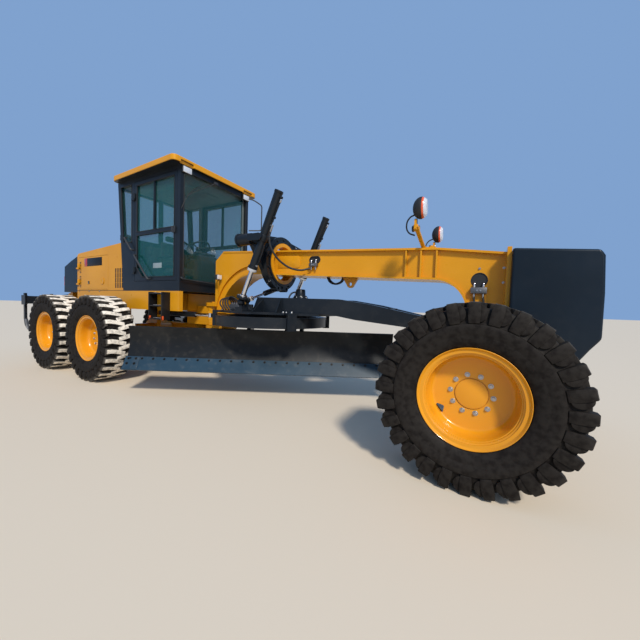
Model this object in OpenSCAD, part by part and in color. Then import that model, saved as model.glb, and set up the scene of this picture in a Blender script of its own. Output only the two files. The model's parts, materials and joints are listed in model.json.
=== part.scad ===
// Articulated motor grader with angled blade, nose weight and rear ripper.
// Lengths are millimetres. X points forward, Y to the machine's left, Z up.
// The modules are drawn with X = 0 at the front axle and then moved by home().

/* [Wheels] */
// Tyre diameter over the lugs
tyre_d = 1340; // [1300:5:1360]
// Tyre width
tyre_w = 445; // [425:5:460]
// Lugs in each of a tyre's two rows
lugs = 28; // [20:2:30]
// Depth of the lugs
lug_depth = 38; // [25:1:45]
// Rim diameter over the flanges
rim_d = 711; // [690:1:730]
// Rim width over the flanges
rim_w = 380; // [360:5:400]
// Depth of the wheel disc behind the outer flange
dish = 185; // [150:5:200]
// Middle of a left tyre to the middle of a right one
track = 2160; // [2120:5:2200]
// Hinge to the middle of the tandem
tandem_back = 2160; // [2100:5:2200]
// Spacing of the two wheels of a tandem
tandem_pitch = 1538; // [1500:2:1600]
// Diameter of the axle stubs and spindles
stub_d = 120; // [100:2:130]
// Diameter of the kingpins
kingpin_d = 60; // [50:2:70]
// Kingpin inside the middle of its tyre
kingpin_in = 280; // [270:2:290]

/* [Front frame] */
// Height of the beam's top at its bend
beam_top = 1930; // [1900:5:1960]
// Depth of the beam with its flanges
beam_depth = 335; // [310:5:360]
// Rise of the beam's top per metre towards the cab
beam_rise = 49; // [30:1:60]
// Half width of the beam's webs
web_half = 150; // [130:5:165]
// Half width of the beam's flanges
flange_half = 190; // [180:5:210]
// Thickness of the beam's flanges
flange_t = 22; // [16:1:30]
// Half width of the raised rear plates
plate_half = 182; // [175:1:190]
// Radius of the throat behind the circle
throat_r = 680; // [670:2:690]
// Radius of the throat in front of the circle
nose_throat_r = 330; // [300:10:350]
// Outer radius of the ring that the saddle sits on
seat_r = 290; // [280:2:300]
// Height of the frame's underside at the nose
nose_low = 985; // [970:5:1000]
// Front plate that carries the weight
nose_plate_t = 25; // [20:1:35]
// Diameter of the hole in the tie-down eye
eye_d = 46; // [40:1:54]

/* [Nose weight] */
// Length of the weight
weight_len = 640; // [600:10:660]
// Half width of the weight
weight_half = 375; // [340:5:380]
// Height of the weight's top at its front
weight_top = 1790; // [1760:5:1810]
// Height of the weight's underside
weight_low = 860; // [850:5:900]

/* [Articulation] */
// Hinge axis behind the front axle
hinge_back = 3950; // [3930:5:3970]
// Diameter of the hinge pin
hinge_pin_d = 90; // [80:2:100]
// Radius of the rear frame's hinge post
post_r = 115; // [105:1:120]

/* [Saddle and lift cylinders] */
// Saddle plane behind the front axle
saddle_back = 2600; // [2590:2:2610]
// Outer radius of the saddle ring
saddle_r = 380; // [365:5:390]
// Half distance between the lift cylinders
lift_half = 600; // [590:5:610]
// Height of the lift cylinder trunnions
trunnion_z = 2110; // [2100:5:2120]
// Ball of the lift rod behind the front axle
ball_back = 2770; // [2760:5:2780]
// Height of the lift rod balls
ball_z = 1300; // [1295:1:1305]
// Lean of the lift cylinders from upright
lift_lean = 23.35; // [23.2:0.05:23.5]
// Radius of the lift barrels
barrel_r = 52; // [48:1:55]
// Diameter of the lift rods
lift_rod_d = 60; // [50:2:64]
// Length of a lift barrel
barrel_len = 1030; // [1000:10:1040]

/* [Drawbar and circle] */
// Circle centre behind the front axle
circle_back = 2720; // [2700:5:2740]
// Outer radius of the circle
circle_r = 800; // [780:5:810]
// Width of the circle's ring
ring_w = 140; // [120:5:150]
// Underside of the circle
ring_low = 980; // [975:1:985]
// Height of the circle's ring
ring_h = 135; // [120:5:140]
// Underside of the drawbar's plate
deck_low = 1150; // [1145:1:1160]
// Thickness of the drawbar's plate
deck_t = 30; // [20:1:35]
// Drawbar ball behind the front axle
joint_back = 300; // [295:1:305]
// Height of the drawbar ball
joint_z = 1070; // [1065:1:1075]

/* [Blade] */
// Angle of the blade from straight across
blade_angle = 61; // [45:1:61]
// Length of the blade
blade_len = 3660; // [3500:10:3700]
// Heel end of the blade from the circle's centre
heel_reach = 1930; // [1850:5:1940]
// Height of the blade's top edge
blade_top = 922; // [910:1:925]
// Height of the moldboard between its edges
moldboard_h = 470; // [460:2:480]
// Radius of the moldboard's curve
moldboard_r = 520; // [500:10:600]
// Thickness of the moldboard
moldboard_t = 22; // [18:1:26]
// Length of the cutting edge down the curve
edge_len = 140; // [120:5:150]
// Diameter of the blade's slide rails
rail_d = 60; // [50:2:64]
// Top edge ahead of the circle's centre
blade_n = 335; // [330:1:345]
// Lower edge ahead of the top edge
blade_lean = 60; // [50:2:70]

/* [Rear frame] */
// Half distance over the frame rails
rails_half = 340; // [320:5:350]
// Underside of the rails
rails_low = 1140; // [1130:5:1160]
// Top of the rails
rails_top = 1420; // [1400:5:1430]
// Rear end of the frame behind the front axle
frame_back = 8050; // [8000:10:8080]

/* [Hood] */
// Half width of the hood
hood_half = 560; // [540:5:580]
// Height of the hood's top at the cab
hood_top = 2320; // [2280:10:2340]
// Thickness of the hood's panels
panel_t = 30; // [24:1:40]
// Rear edge of the hood behind the front axle
hood_back = 7400; // [7380:5:7420]

/* [Cab] */
// Half width of the cab
cab_half = 700; // [680:5:710]
// Front face of the cab behind the front axle
cab_front = 3900; // [3895:1:3910]
// Rear wall at the floor behind the front axle
cab_back = 5400; // [5380:5:5420]
// Lean of the rear wall
cab_lean = 170; // [100:10:200]
// Height of the cab floor
cab_floor = 1440; // [1430:5:1445]
// Height of the pillars
cab_top = 3270; // [3240:5:3290]
// Width of the pillars
pillar = 60; // [50:1:70]
// Thickness of the windows
glass_t = 8; // [6:1:10]
// Thickness of the roof
roof_t = 85; // [70:5:100]
// Roof overhang at the sides
roof_over = 160; // [140:5:170]

/* [Ripper] */
// Ripper beam behind the front axle
ripper_back = 8870; // [8850:5:8890]
// Half width of the ripper beam
ripper_half = 980; // [900:10:1000]
// Height of the ripper beam
ripper_z = 1225; // [1215:5:1235]
// Length of the ripper's links between their pins, along the machine
link_len = 620; // [612:1:622]
// Number of shanks
shanks = 5; // [3:1:7]

/* [Hidden] */
$fn = 64;
fit = 0.05;      // running clearance of a pin in its bore, on the radius
seat = 0.3;      // gap at a seat between two bodies
gap = 5;         // gap between moving pieces

function polar(r, a) = [r*cos(a), r*sin(a)];
function arc(c, r, a0, a1, n = 9) = [for (k = [0 : n]) c + polar(r, a0 + (a1 - a0)*k/n)];

// Wheels
wheelbase = hinge_back + tandem_back;
hub_z = tyre_d/2;
stub_r = stub_d/2;
disc_y = rim_w/2 - dish;                           // disc outside the tyre's middle
hub_r = 112;
steps = 12;                                        // flats round a tyre's casing
flat = cos(180/steps);                             // middle of a flat against its corners
bead_r = (rim_d/2 - 37)/flat;
wall_r = tyre_d/2 - 200;
shoulder_r = tyre_d/2 - 110;
lug_pitch = 360/lugs;
lug_head = 0.21;                                   // half of a lug at its top, in pitches
lug_foot = 0.25;                                   // and at its foot, where the two rows meet
lug_r = tyre_d/2/cos(lug_head*lug_pitch);          // the flat top touches the tyre's diameter
lug_end = tyre_w/2 - 8;
tread_r = tyre_d/2 - lug_depth;
stub_end = track/2 + disc_y - 24 - seat;
wheel_x = [0, tandem_pitch/2 - wheelbase, -tandem_pitch/2 - wheelbase];
knuckle_r = 72;
knuckle_y = track/2 - kingpin_in;
hub_in = kingpin_in - knuckle_r - 14;              // inner end of the hub from the tyre's middle
arm_x = -235;                                      // tie rod pin behind the kingpin
arm_z = hub_z - 105;

// Front frame
hinge_x = -hinge_back;
nose_x = 215;
bend_x = -420;
plate_x = -3560;                                   // top corner of the rear plates
rear_x = -3730;
nose_leg_x = -120;
function top_at(x) = x > bend_x ? beam_top - (x - bend_x)*0.134 : beam_top + (bend_x - x)*beam_rise/1000;
function low_at(x) = top_at(x) - beam_depth;
throat = [-2920, low_at(-2920) - throat_r];
nose_throat = [nose_leg_x - nose_throat_r, low_at(bend_x) - nose_throat_r];
leg_x = throat[0] - throat_r;
lug_low = 850;
lug_high = 1285;
lug_t = 60;
eye = [-1470, low_at(-1470) - 75];
lamp = [-525, 560, 2240];                          // middle of the left head lamp
lamp_low = 105;                                    // its underside below that
lamp_v = [lamp[1] - 70, lamp[2] - lamp_low - 60 - beam_top];
lamp_arm = norm(lamp_v);
lamp_rise = atan2(lamp_v[0], lamp_v[1]);

// Steering cylinders of the hinge, on the left side
steer_z = 1090;
steer_pin = [hinge_x - 780, 430];
steer_eye = [hinge_x + 340, 370];
steer_v = steer_eye - steer_pin;
steer_len = norm(steer_v);
steer_a = atan(steer_v[1]/steer_v[0]);

// Saddle and lift cylinders, drawn from the ball to the trunnion
saddle_x = -saddle_back;
seat_z = (top_at(saddle_x) + low_at(saddle_x))/2;
ball_x = -ball_back;
ball_r = 50;
lift_s = (trunnion_z - ball_z)/cos(lift_lean);
trunnion_x = ball_x + lift_s*sin(lift_lean);
gland_s = 440;
lift_rod_r = lift_rod_d/2;
shift_ball = [-498, 1330];
shift_ball_r = 40;
shift_x = saddle_x - 150;
shift_pin = [95, seat_z - saddle_r + 25];
shift_v = shift_ball - shift_pin;
shift_len = norm(shift_v);
shift_a = atan(shift_v[1]/shift_v[0]);

// Drawbar and blade
joint_x = -joint_back;
joint_r = 25;
ear_t = 30;
ear_y = 70;
circle_x = -circle_back;
deck_top = deck_low + deck_t;
rail_r = rail_d/2;
edge_t = 20;
mold_low = [blade_n + blade_lean, blade_top - moldboard_h];
chord_a = atan(blade_lean/moldboard_h);
half_sweep = asin(norm([blade_lean, moldboard_h])/2/moldboard_r);
mold_mid = ([blade_n, blade_top] + mold_low)/2;
mold_c = mold_mid + polar(moldboard_r*cos(half_sweep), chord_a);
edge_a = chord_a + half_sweep;                     // slope of the cutting edge from upright
edge_lap = 60;                                     // lap of the cutting edge over the moldboard
edge_off = edge_lap*edge_lap/(2*moldboard_r) + 1;  // clears the curve's short flats
edge_n = mold_low[0] + edge_len*sin(edge_a) + (edge_t + edge_off)*cos(edge_a);
tip = [190, 600];                                  // pivot of the blade's tilt
arm_u = 420;
rails = [[205, 800], [290, 450]];

// Rear frame, cab and ripper
tandem_x = -wheelbase;
sill = 1600;                                       // lower edge of the door
door_x = [-5060, -3975];
function back_at(z) = -cab_back - cab_lean*(z - cab_floor)/(cab_top - cab_floor);
hood_front = -cab_back - cab_lean - 25;
intake = [-6080, -300, hood_top - 22];             // foot of the intake on the hood
exhaust = [-6700, 200, hood_top - 60];
hood_door_x = [-7330, -6190];
hood_door_z = [1480, 2120];
hinge_off = 20;                                    // door hinge axis outside the panel
hinge_r = 14;
hinge_pin_r = 6;
hinge_h = 90;
hood_hinge_x = hood_door_x[0] + 14;
hood_hinge_z = [hood_door_z[0] + 120, hood_door_z[1] - 200];
door_hinge_x = door_x[0] + 10;
door_hinge_z = [sill + 150, cab_top - 330];
ripper_x = -ripper_back;
link_pins = [[-8120, 1010], [-8120, 1350]];
link_v = [-link_len, -40];
link_eye = link_pins[0] + 0.6875*link_v + [0, 95];
ram_pin = [-8080, 1560];
ram_v = link_eye - ram_pin;
ram_len = norm(ram_v);
ram_a = atan(ram_v[1]/ram_v[0]);

// The machine's box is centred over the origin
nose_front = nose_x + nose_plate_t + weight_len;
ripper_end = ripper_x - 110;
heel_y = -heel_reach*cos(blade_angle) - edge_n*sin(blade_angle);
x_mid = -(nose_front + ripper_end)/2;
y_mid = -(heel_y + track/2 + tyre_w/2)/2;

navy = [0.13, 0.15, 0.18];
black = [0.10, 0.10, 0.11];
amber = [0.95, 0.66, 0.12];
steel = [0.75, 0.76, 0.78];
clear = [0.55, 0.72, 0.72, 0.5];

SIDES = [[-1, "right"], [1, "left"]];

// Moves the whole machine so that its box is centred over the origin
module home() translate([x_mid, y_mid, 0]) children();

// A side outline in X-Z, made as wide as half on each side of the middle
module across(half) rotate([90, 0, 0]) linear_extrude(2*half, center = true) children();

// A side outline in X-Z between two places across the machine
module between(y0, y1) translate([0, max(y0, y1), 0]) rotate([90, 0, 0])
    linear_extrude(abs(y1 - y0)) children();

// A front outline in Y-Z that runs from x0 to x1
module along(x0, x1) translate([x0, 0, 0]) rotate([90, 0, 90]) linear_extrude(x1 - x0) children();

// A box from its low corner to its high corner
module block(lo, hi) translate(lo) cube(hi - lo);

// The same solid on the left and, mirrored, on the right
module on_side(side) if (side > 0) children(); else mirror([0, 1, 0]) children();
module both() for (s = [-1, 1]) on_side(s) children();

// A cylinder along X, Y or Z that starts at a point
module bar_x(p, len, r) translate(p) rotate([0, 90, 0]) cylinder(r = r, h = len);
module bar_y(p, len, r) translate(p) rotate([-90, 0, 0]) cylinder(r = r, h = len);
module bar_z(p, len, r) translate(p) cylinder(r = r, h = len);

// A bar in X-Z with round ends at two points
module bone(p, q, r0, r1 = 0) {
    v = (q - p)/norm(q - p);
    side = 0.98*[-v[1], v[0]];                     // the sides leave the round ends at a small angle
    e = r1 > 0 ? r1 : r0;
    translate(p) circle(r0);
    translate(q) circle(e);
    polygon([p + side*r0, q + side*e, q - side*e, p - side*r0]);
}

// A plate in X-Y with a round nose, from x0 to its eye at x1
module tongue(x0, x1, half, z0, t) translate([0, 0, z0]) linear_extrude(t) {
    translate([min(x0, x1), -half]) square([abs(x1 - x0), 2*half]);
    translate([x1, 0]) circle(half);
}

// Tyre: a casing in flat steps and two rows of lugs half a pitch apart, each with a flat top
module lug_row(shift) linear_extrude(lug_end) polygon([for (k = [0 : lugs - 1])
    for (p = [[-lug_foot, tread_r], [-lug_head, lug_r], [lug_head, lug_r], [lug_foot, tread_r]])
        polar(p[1], 90 + (k + shift + p[0])*lug_pitch)]);
module tyre(x, side) color(black) translate([x, side*track/2, hub_z]) rotate([-90*side, 0, 0]) difference() {
    union() {
        lug_row(0);
        mirror([0, 0, 1]) lug_row(0.5);
        rotate_extrude($fn = steps) polygon([[0, -tyre_w/2], [wall_r, -tyre_w/2], [shoulder_r, -lug_end],
            [shoulder_r, lug_end], [wall_r, tyre_w/2], [0, tyre_w/2]]);
    }
    rotate_extrude($fn = steps) let (w = tyre_w/2, b = rim_w/2 - 15, f = (rim_d/2 + 2)/flat) polygon([[0, -w - 1],
        [wall_r, -w - 1], [wall_r, -w], [f, -b], [bead_r, -b], [bead_r, b], [f, b], [wall_r, w], [wall_r, w + 1], [0, w + 1]]);
}

// Wheel with a hand hole in its disc, which stands at its own angle on each axle
hand_angle = [146, 58, 58];
module rim(k, side) color(amber) translate([wheel_x[k], side*track/2, hub_z]) rotate([-90*side, 0, 0]) difference() {
    wheel();
    rotate(side*hand_angle[k]) translate([0, 0, disc_y - 30]) linear_extrude(110)
        polygon([for (a = [-90 : 30 : 90]) [252, 0] + polar(20, a) + [0, a > 0 ? 18 : a < 0 ? -18 : 0], [222, 6], [222, -6]]);
}
module wheel() rotate_extrude($fn = 96) let (f = rim_d/2, w = rim_w/2, d = disc_y, c = rim_d/2 - 37 - seat) polygon([
        [0, d + 20], [hub_r + 12, d + 20], [hub_r + 16, d + 12], [f - 85, d + 12], [f - 56, d + 65],
        [f - 50, w], [f, w], [f, w - 14], [c, w - 14], [c, 14 - w], [f, 14 - w], [f, -w],
        [f - 55, -w], [f - 55, d - 40], [f - 80, d - 12], [hub_r, d - 12], [hub_r, -hub_in],
        [stub_r + fit, -hub_in], [stub_r + fit, d - 24], [0, d - 24]]);

module rear_frame() color(amber) {
    difference() {
        union() {
            both() block([-frame_back, rails_half - 80, rails_low], [-4300, rails_half, rails_top]);
            block([-4560, -280, rails_low], [-4250, 280, rails_top]);
            block([-frame_back, -430, rails_low], [-frame_back + 100, 430, rails_top]);
            block([-6300, -rails_half, rails_low], [-5950, rails_half, rails_low + 120]);
            // hinge post and neck
            bar_z([hinge_x, 0, lug_low + lug_t + gap], lug_high - lug_low - 2*(lug_t + gap), post_r);
            block([-4500, 5 - post_r, lug_low + lug_t + gap], [hinge_x, post_r - 5, lug_high - lug_t - gap]);
            // sills under the hood and plates under the cab
            both() block([-hood_back, hood_half - 40, 1250], [hood_front, hood_half, rails_top]);
            for (x = [-7350, -6500, -5720]) both() block([x, rails_half - 10, 1300], [x + 80, hood_half - 10, 1400]);
            both() block([-5900, cab_half - 60, rails_low], [-cab_front, cab_half, cab_floor]);
            for (x = [-5500, -5000, -4420]) block([x, 10 - cab_half, rails_low + 60], [x + 120, cab_half - 10, rails_top]);
            both() steer_bracket();
            both() ripper_bracket();
        }
        bar_z([hinge_x, 0, lug_low], lug_high - lug_low, hinge_pin_d/2 + fit);
        both() bar_z([steer_pin[0], steer_pin[1], steer_z - 80], 160, 22 + fit);
    }
}

module steer_bracket() {
    block([-4960, 380, steer_z - 60], [steer_pin[0] - 120, 480, rails_low + 80]);
    for (z = [-60, 35]) translate([0, 0, steer_z + z]) linear_extrude(25) {
        translate(steer_pin) circle(50);
        translate(steer_pin + [-121, -50]) square([121, 100]);
    }
}

module ripper_bracket() {
    between(385, 425) {
        bone(link_pins[0], link_pins[1], 50);
        polygon([[-7990, rails_low + 10], [-7990, rails_top - 10], link_pins[1] + [0, 50], link_pins[0] + [30, -30]]);
    }
    for (p = link_pins) bar_y([p[0], 350, p[1]], 70, 22);
    between(47, 72) bone([ram_pin[0], 1250], ram_pin, 50);
    bar_y([ram_pin[0], -1, ram_pin[1]], 60, 22);
    block([-frame_back - 1, 47, 1200], [-frame_back + 50, 72, rails_top - 5]);
}

module rear_axle() color(amber) {
    both() between(650, 835) bone([wheel_x[1], hub_z], [wheel_x[2], hub_z], 165);
    both() for (x = [wheel_x[1], wheel_x[2]]) bar_y([x, 790, hub_z], stub_end - 790, stub_r);
    bar_y([tandem_x, -660, hub_z], 1320, 150);
    both() block([tandem_x - 150, rails_half - 80, hub_z + 100], [tandem_x + 150, rails_half, rails_low]);
}

module engine() color(black) block([-7100, -240, rails_low + 120], [-5960, 240, 2050]);

// Door hinge on the left side: a lug with its pin on the body, and the leaf with its bore on the door
module hinge_post(x, y, z) {
    translate([0, 0, z - 30]) linear_extrude(30) {
        translate([x, y + hinge_off]) circle(hinge_r);
        translate([x - 60, y + hinge_off - hinge_r]) square([60, 2*hinge_r]);
        translate([x - 60, y - 1]) square([25, hinge_off]);
    }
    bar_z([x, y + hinge_off, z - 1], hinge_h, hinge_pin_r);
}
module hinge_leaf(x, y, z) translate([0, 0, z + seat]) linear_extrude(hinge_h - 10) difference() {
    union() {
        translate([x, y + hinge_off]) circle(hinge_r);
        translate([x, y - 1]) square([30, hinge_off + 5]);
    }
    translate([x, y + hinge_off]) circle(hinge_pin_r + fit);
}

// Hood shell: two side walls with door openings, a top, a front and a rear wall
module hood() color(amber) {
    difference() {
        union() {
            across(hood_half) hood_outline(0);
            bar_z(intake - [0, 0, 40], 40, 75);
            bar_z(exhaust - [0, 0, 40], 40, 60);
        }
        across(hood_half - panel_t) hood_outline(panel_t);
        both() block([hood_door_x[0] - gap, hood_half - panel_t - 1, hood_door_z[0] - gap],
            [hood_door_x[1] + gap, hood_half + 1, hood_door_z[1] + gap]);
        both() louvres();
    }
    both() for (z = hood_hinge_z) hinge_post(hood_hinge_x, hood_half, z);
}
louvre = [-5945, -5650, 1500, 1860];               // rear, front, lower and upper edge of the slots
louvre_n = 4;
module louvres() let (step = (louvre[1] - louvre[0])/louvre_n) for (k = [0 : louvre_n - 1])
    block([louvre[0] + k*step, hood_half - panel_t - 1, louvre[2]],
        [louvre[0] + (k + 0.62)*step, hood_half + 1, louvre[3]]);
module hood_outline(t) let (low = rails_top - (t > 0 ? 1 : 0)) polygon([[-hood_back + t, low],
    [-hood_back + t, 2180 - t], [-hood_back + 60 + t, 2210 - t], [hood_front - t, hood_top - t], [hood_front - t, low]]);

module hood_door(side) color(amber) on_side(side) {
    block([hood_door_x[0], hood_half - panel_t, hood_door_z[0]], [hood_door_x[1], hood_half, hood_door_z[1]]);
    for (z = hood_hinge_z) hinge_leaf(hood_hinge_x, hood_half, z);
}

module rear_housing() color(navy) difference() {
    across(hood_half - 10) polygon([[-hood_back - seat, rails_top], [-hood_back - seat, 2170],
        [-7700, 2080], [-8010, 1970], [-8030, rails_top]]);
    across(hood_half - 60) polygon([[-hood_back + 1, rails_top + 60], [-hood_back + 1, 2110],
        [-7700, 2020], [-7930, 1920], [-7930, rails_top + 60]]);
    for (k = [0 : 8]) block([-8040, -430, 1500 + 50*k], [-7900, 430, 1525 + 50*k]);
}

// Steps, handrails, roof lamps, intake and exhaust of the rear half
module rear_fittings() color(black) {
    for (x = [-4460, -4140]) both() block([x, cab_half, 1000], [x + 30, cab_half + 130, rails_top]);
    for (z = [1005, 1200, 1385]) both() block([-4440, cab_half, z], [-4130, cab_half + 130, z + 25]);
    both() block([-cab_front, cab_half - 165, cab_top - 110], [45 - cab_front, cab_half - 15, cab_top - 8]);
    both() bar_z([-5240, cab_half + 40, 1700], 700, 14);
    for (z = [1720, 2360]) both() bar_y([-5240, cab_half, z], 40, 10);
    bar_z(intake, 126, 60);
    bar_z(intake + [0, 0, 126], 110, 95);
    bar_z(exhaust, 310, 45);
}

module cab_side() polygon([[-cab_front, cab_floor], [-cab_front, cab_top],
    [back_at(cab_top), cab_top], [back_at(cab_floor), cab_floor]]);
module cab_hole() polygon([[-cab_front - pillar, cab_floor + pillar], [-cab_front - pillar, cab_top - 50],
    [back_at(cab_top) + pillar, cab_top - 50], [back_at(cab_floor) + pillar, cab_floor + pillar]]);

// Rear quarter window, between the door's pillar and the rear wall
module quarter() polygon([[door_x[0] - 90, 2250], [door_x[0] - 90, cab_top - 80],
    [back_at(cab_top - 80) + 80, cab_top - 80], [back_at(2250) + 80, 2250]]);
rear_window = [cab_top - 910, cab_top - 100];
windscreen = [sill + 10, cab_top - 70];

module cab_shell() color(navy) {
    cab_walls();
    both() for (z = door_hinge_z) hinge_post(door_hinge_x, cab_half, z);
}
module cab_walls() difference() {
    across(cab_half) cab_side();
    across(cab_half - pillar) cab_hole();
    across(cab_half + 1) polygon([[door_x[0] - gap, sill - gap], [door_x[1] + gap, sill - gap],
        [door_x[1] + gap, cab_top - 60], [door_x[0] - gap, cab_top - 60]]);
    across(cab_half + 1) quarter();
    block([-cab_front - pillar - 1, pillar - cab_half, windscreen[0]], [1 - cab_front, cab_half - pillar, windscreen[1]]);
    block([-cab_back - cab_lean - 1, pillar - cab_half, rear_window[0]],
        [-cab_back + pillar + 1, cab_half - pillar, rear_window[1]]);
}

module cab_roof() color(amber) translate([0, 0, cab_top]) linear_extrude(roof_t) let (b = back_at(cab_top) + 10,
    f = 60 - cab_front, w = cab_half + roof_over) polygon([[b, 60 - w], [f, -w], [f, w], [b, w - 60]]);

module cab_glass() color(clear) {
    x = -cab_front - pillar + 10;
    w = cab_half - pillar - seat;
    block([x, -w, windscreen[0] + seat], [x + glass_t, w, windscreen[1] - seat]);
    across(w) let (z0 = rear_window[0] + seat, z1 = rear_window[1] - seat, o = 25) polygon([[back_at(z0) + o, z0],
        [back_at(z1) + o, z1], [back_at(z1) + o + glass_t, z1], [back_at(z0) + o + glass_t, z0]]);
    both() between(cab_half - 30, cab_half - 30 + glass_t) offset(delta = -seat) quarter();
}

module seat_and_console() color(black) {
    block([-5080, -250, cab_floor + pillar], [-4640, 250, 1750]);
    block([-5060, -230, 1750], [-4600, 230, 1880]);
    block([-5160, -230, 1760], [-5059, 230, 2480]);
    block([-4330, -160, cab_floor + pillar], [-4130, 160, 2100]);
    translate([-4375, 0, 2210]) rotate([0, -35, 0]) {
        rotate_extrude() translate([190, 0]) circle(16);
        block([-190, -20, -12], [190, 20, 12]);
        bar_z([0, 0, -260], 260, 25);
    }
}

module door_outline(inset) polygon([[door_x[0] + inset, sill + inset], [door_x[1] - inset, sill + inset],
    [door_x[1] - inset, cab_top - 65 - inset], [door_x[0] + inset, cab_top - 65 - inset]]);
// The door's two panes, a little smaller where the glass stands in them
module door_panes(inset) for (z = [[sill + 60, 2340], [2395, cab_top - 125]]) let (low = z[0] < 2000 ? 150 : 0)
    polygon([[door_x[0] + 60 + inset, z[0] + low + inset], [door_x[0] + 60 + low + inset, z[0] + inset],
        [door_x[1] - 60 - inset, z[0] + inset], [door_x[1] - 60 - inset, z[1] - inset],
        [door_x[0] + 60 + inset, z[1] - inset]]);
module door(side) color(navy) on_side(side) {
    between(cab_half - 45, cab_half) difference() {
        door_outline(0);
        door_panes(0);
    }
    for (z = door_hinge_z) hinge_leaf(door_hinge_x, cab_half, z);
}
module door_glass(side) color(clear) on_side(side) between(cab_half - 30, cab_half - 30 + glass_t) door_panes(seat);

// Front frame: side outlines of the webs, flanges and rear plates
function frame_top(t = 0) = [[nose_x, top_at(nose_x) - t], [bend_x, beam_top - t], [plate_x, top_at(plate_x) - t]];
function reversed(list) = [for (k = [len(list) - 1 : -1 : 0]) list[k]];

module front_frame() color(amber) difference() {
    union() {
        across(web_half) polygon(concat(frame_top(), [[rear_x, top_at(plate_x) - 140], [rear_x, lug_low],
            [leg_x, lug_low]], arc(throat, throat_r, 180, 90), arc(nose_throat, nose_throat_r, 90, 0),
            [[nose_leg_x, nose_low], [nose_x, nose_low]]));
        across(flange_half) polygon(concat(frame_top(), reversed(frame_top(flange_t))));
        across(flange_half) polygon(concat(arc(throat, throat_r, 180, 90), arc(nose_throat, nose_throat_r, 90, 0),
            arc(nose_throat, nose_throat_r + flange_t, 0, 90), arc(throat, throat_r + flange_t, 90, 180)));
        across(plate_half) difference() {
            polygon([[throat[0], top_at(throat[0]) - 1], [plate_x, top_at(plate_x)], [rear_x, top_at(plate_x) - 140],
                [rear_x, lug_high - lug_t], [leg_x - 20, lug_high - lug_t], [throat[0], throat[1]]]);
            translate(throat) circle(throat_r + 130);
        }
        for (x = [-750, -590, -430]) across(flange_half - 6) translate([x, low_at(x) + 5]) square([16, beam_depth - 10]);
        block([nose_x - 10, -300, nose_low], [nose_x + nose_plate_t, 300, 1875]);
        difference() {
            bar_x([saddle_x - 75, 0, seat_z], 150, seat_r);
            bar_x([saddle_x - 76, 0, seat_z], 152, seat_r - 50);
        }
        // hinge tongues with their pin, and the ears of the steering rods
        for (z = [lug_low, lug_high - lug_t]) tongue(rear_x + 30, hinge_x, 135, z, lug_t);
        bar_z([hinge_x, 0, lug_low - 15], lug_high - lug_low + 30, hinge_pin_d/2);
        for (z = [-60, 35]) both() translate([0, 0, steer_z + z]) linear_extrude(25) {
            translate(steer_eye) circle(45);
            polygon([[-3700, 100], [-3560, 100], steer_eye + [45, 0], steer_eye + [-45, 0]]);
        }
        // foot, arms and brackets of the head lamps
        block([-600, -100, beam_top - 20], [-450, 100, beam_top + 30]);
        both() {
            translate([lamp[0] - 45, 70, beam_top + 5]) rotate([-lamp_rise, 0, 0]) cylinder(r = 22, h = lamp_arm);
            block([lamp[0] - 55, lamp[1] - 30, lamp[2] - lamp_low - 90], [lamp[0] - 35, lamp[1] + 20, lamp[2] - lamp_low - seat]);
        }
        // lugs of the axle's pivot and ears of the drawbar's ball
        for (x = [-200, 160]) block([x, -110, hub_z - 20], [x + 40, 110, nose_low + 10]);
        block([-200, -140, nose_low - 10], [nose_x, 140, nose_low + 60]);
        for (z = [joint_z - 105, joint_z + 75]) tongue(nose_leg_x + 20, joint_x, 50, z, ear_t);
        // tie-down eye under the beam
        across(20) {
            translate(eye) circle(48);
            polygon([eye + [-110, 85], eye + [110, 85], eye + [46, -12], eye + [-46, -12]]);
        }
    }
    bar_y([eye[0], -40, eye[1]], 80, eye_d/2);
    bar_x([-210, 0, hub_z + 80], 420, 40 + fit);
    bar_z([joint_x, 0, joint_z - 120], 240, joint_r + fit);
    both() bar_y([-15, web_half - 60, 1585], 100, 70);
    both() between(web_half - 60, web_half + 40) bone([-1960, 1880], [-1890, 1880], 42);
}

module saddle() color(navy) difference() {
    union() {
        along(saddle_x - 55, saddle_x + 55) {
            translate([0, seat_z]) circle(saddle_r);
            for (s = [-1, 1]) translate([s*shift_pin[0], shift_pin[1]]) circle(45);
        }
        along(saddle_x - 60, saddle_x) for (s = [-1, 1]) polygon([[0, seat_z + saddle_r + 5],
            [s*lift_half, trunnion_z + 70], [s*(lift_half + 60), trunnion_z], [s*(lift_half - 20), trunnion_z - 72],
            [s*330, seat_z - 160], [0, seat_z + 330]]);
        both() bar_x([saddle_x - 220, lift_half, trunnion_z], 220, 75);
    }
    bar_x([saddle_x - 100, 0, seat_z], 200, seat_r + seat);
    both() bar_x([saddle_x - 230, lift_half, trunnion_z], 240, 35 + fit);
    both() bar_x([saddle_x - 100, shift_pin[0], shift_pin[1]], 200, 20 + fit);
}

module nose_weight() color(navy) across(weight_half) let (x0 = nose_x + nose_plate_t + seat, x1 = nose_front) polygon([
    [x0, weight_low], [x0, weight_top + 60], [x1 - 40, weight_top + 10], [x1 - 12, weight_top - 40],
    [x1, 1450], [x1, 1080], [x1 - 70, 985], [x1 - 150, weight_low]]);

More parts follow.
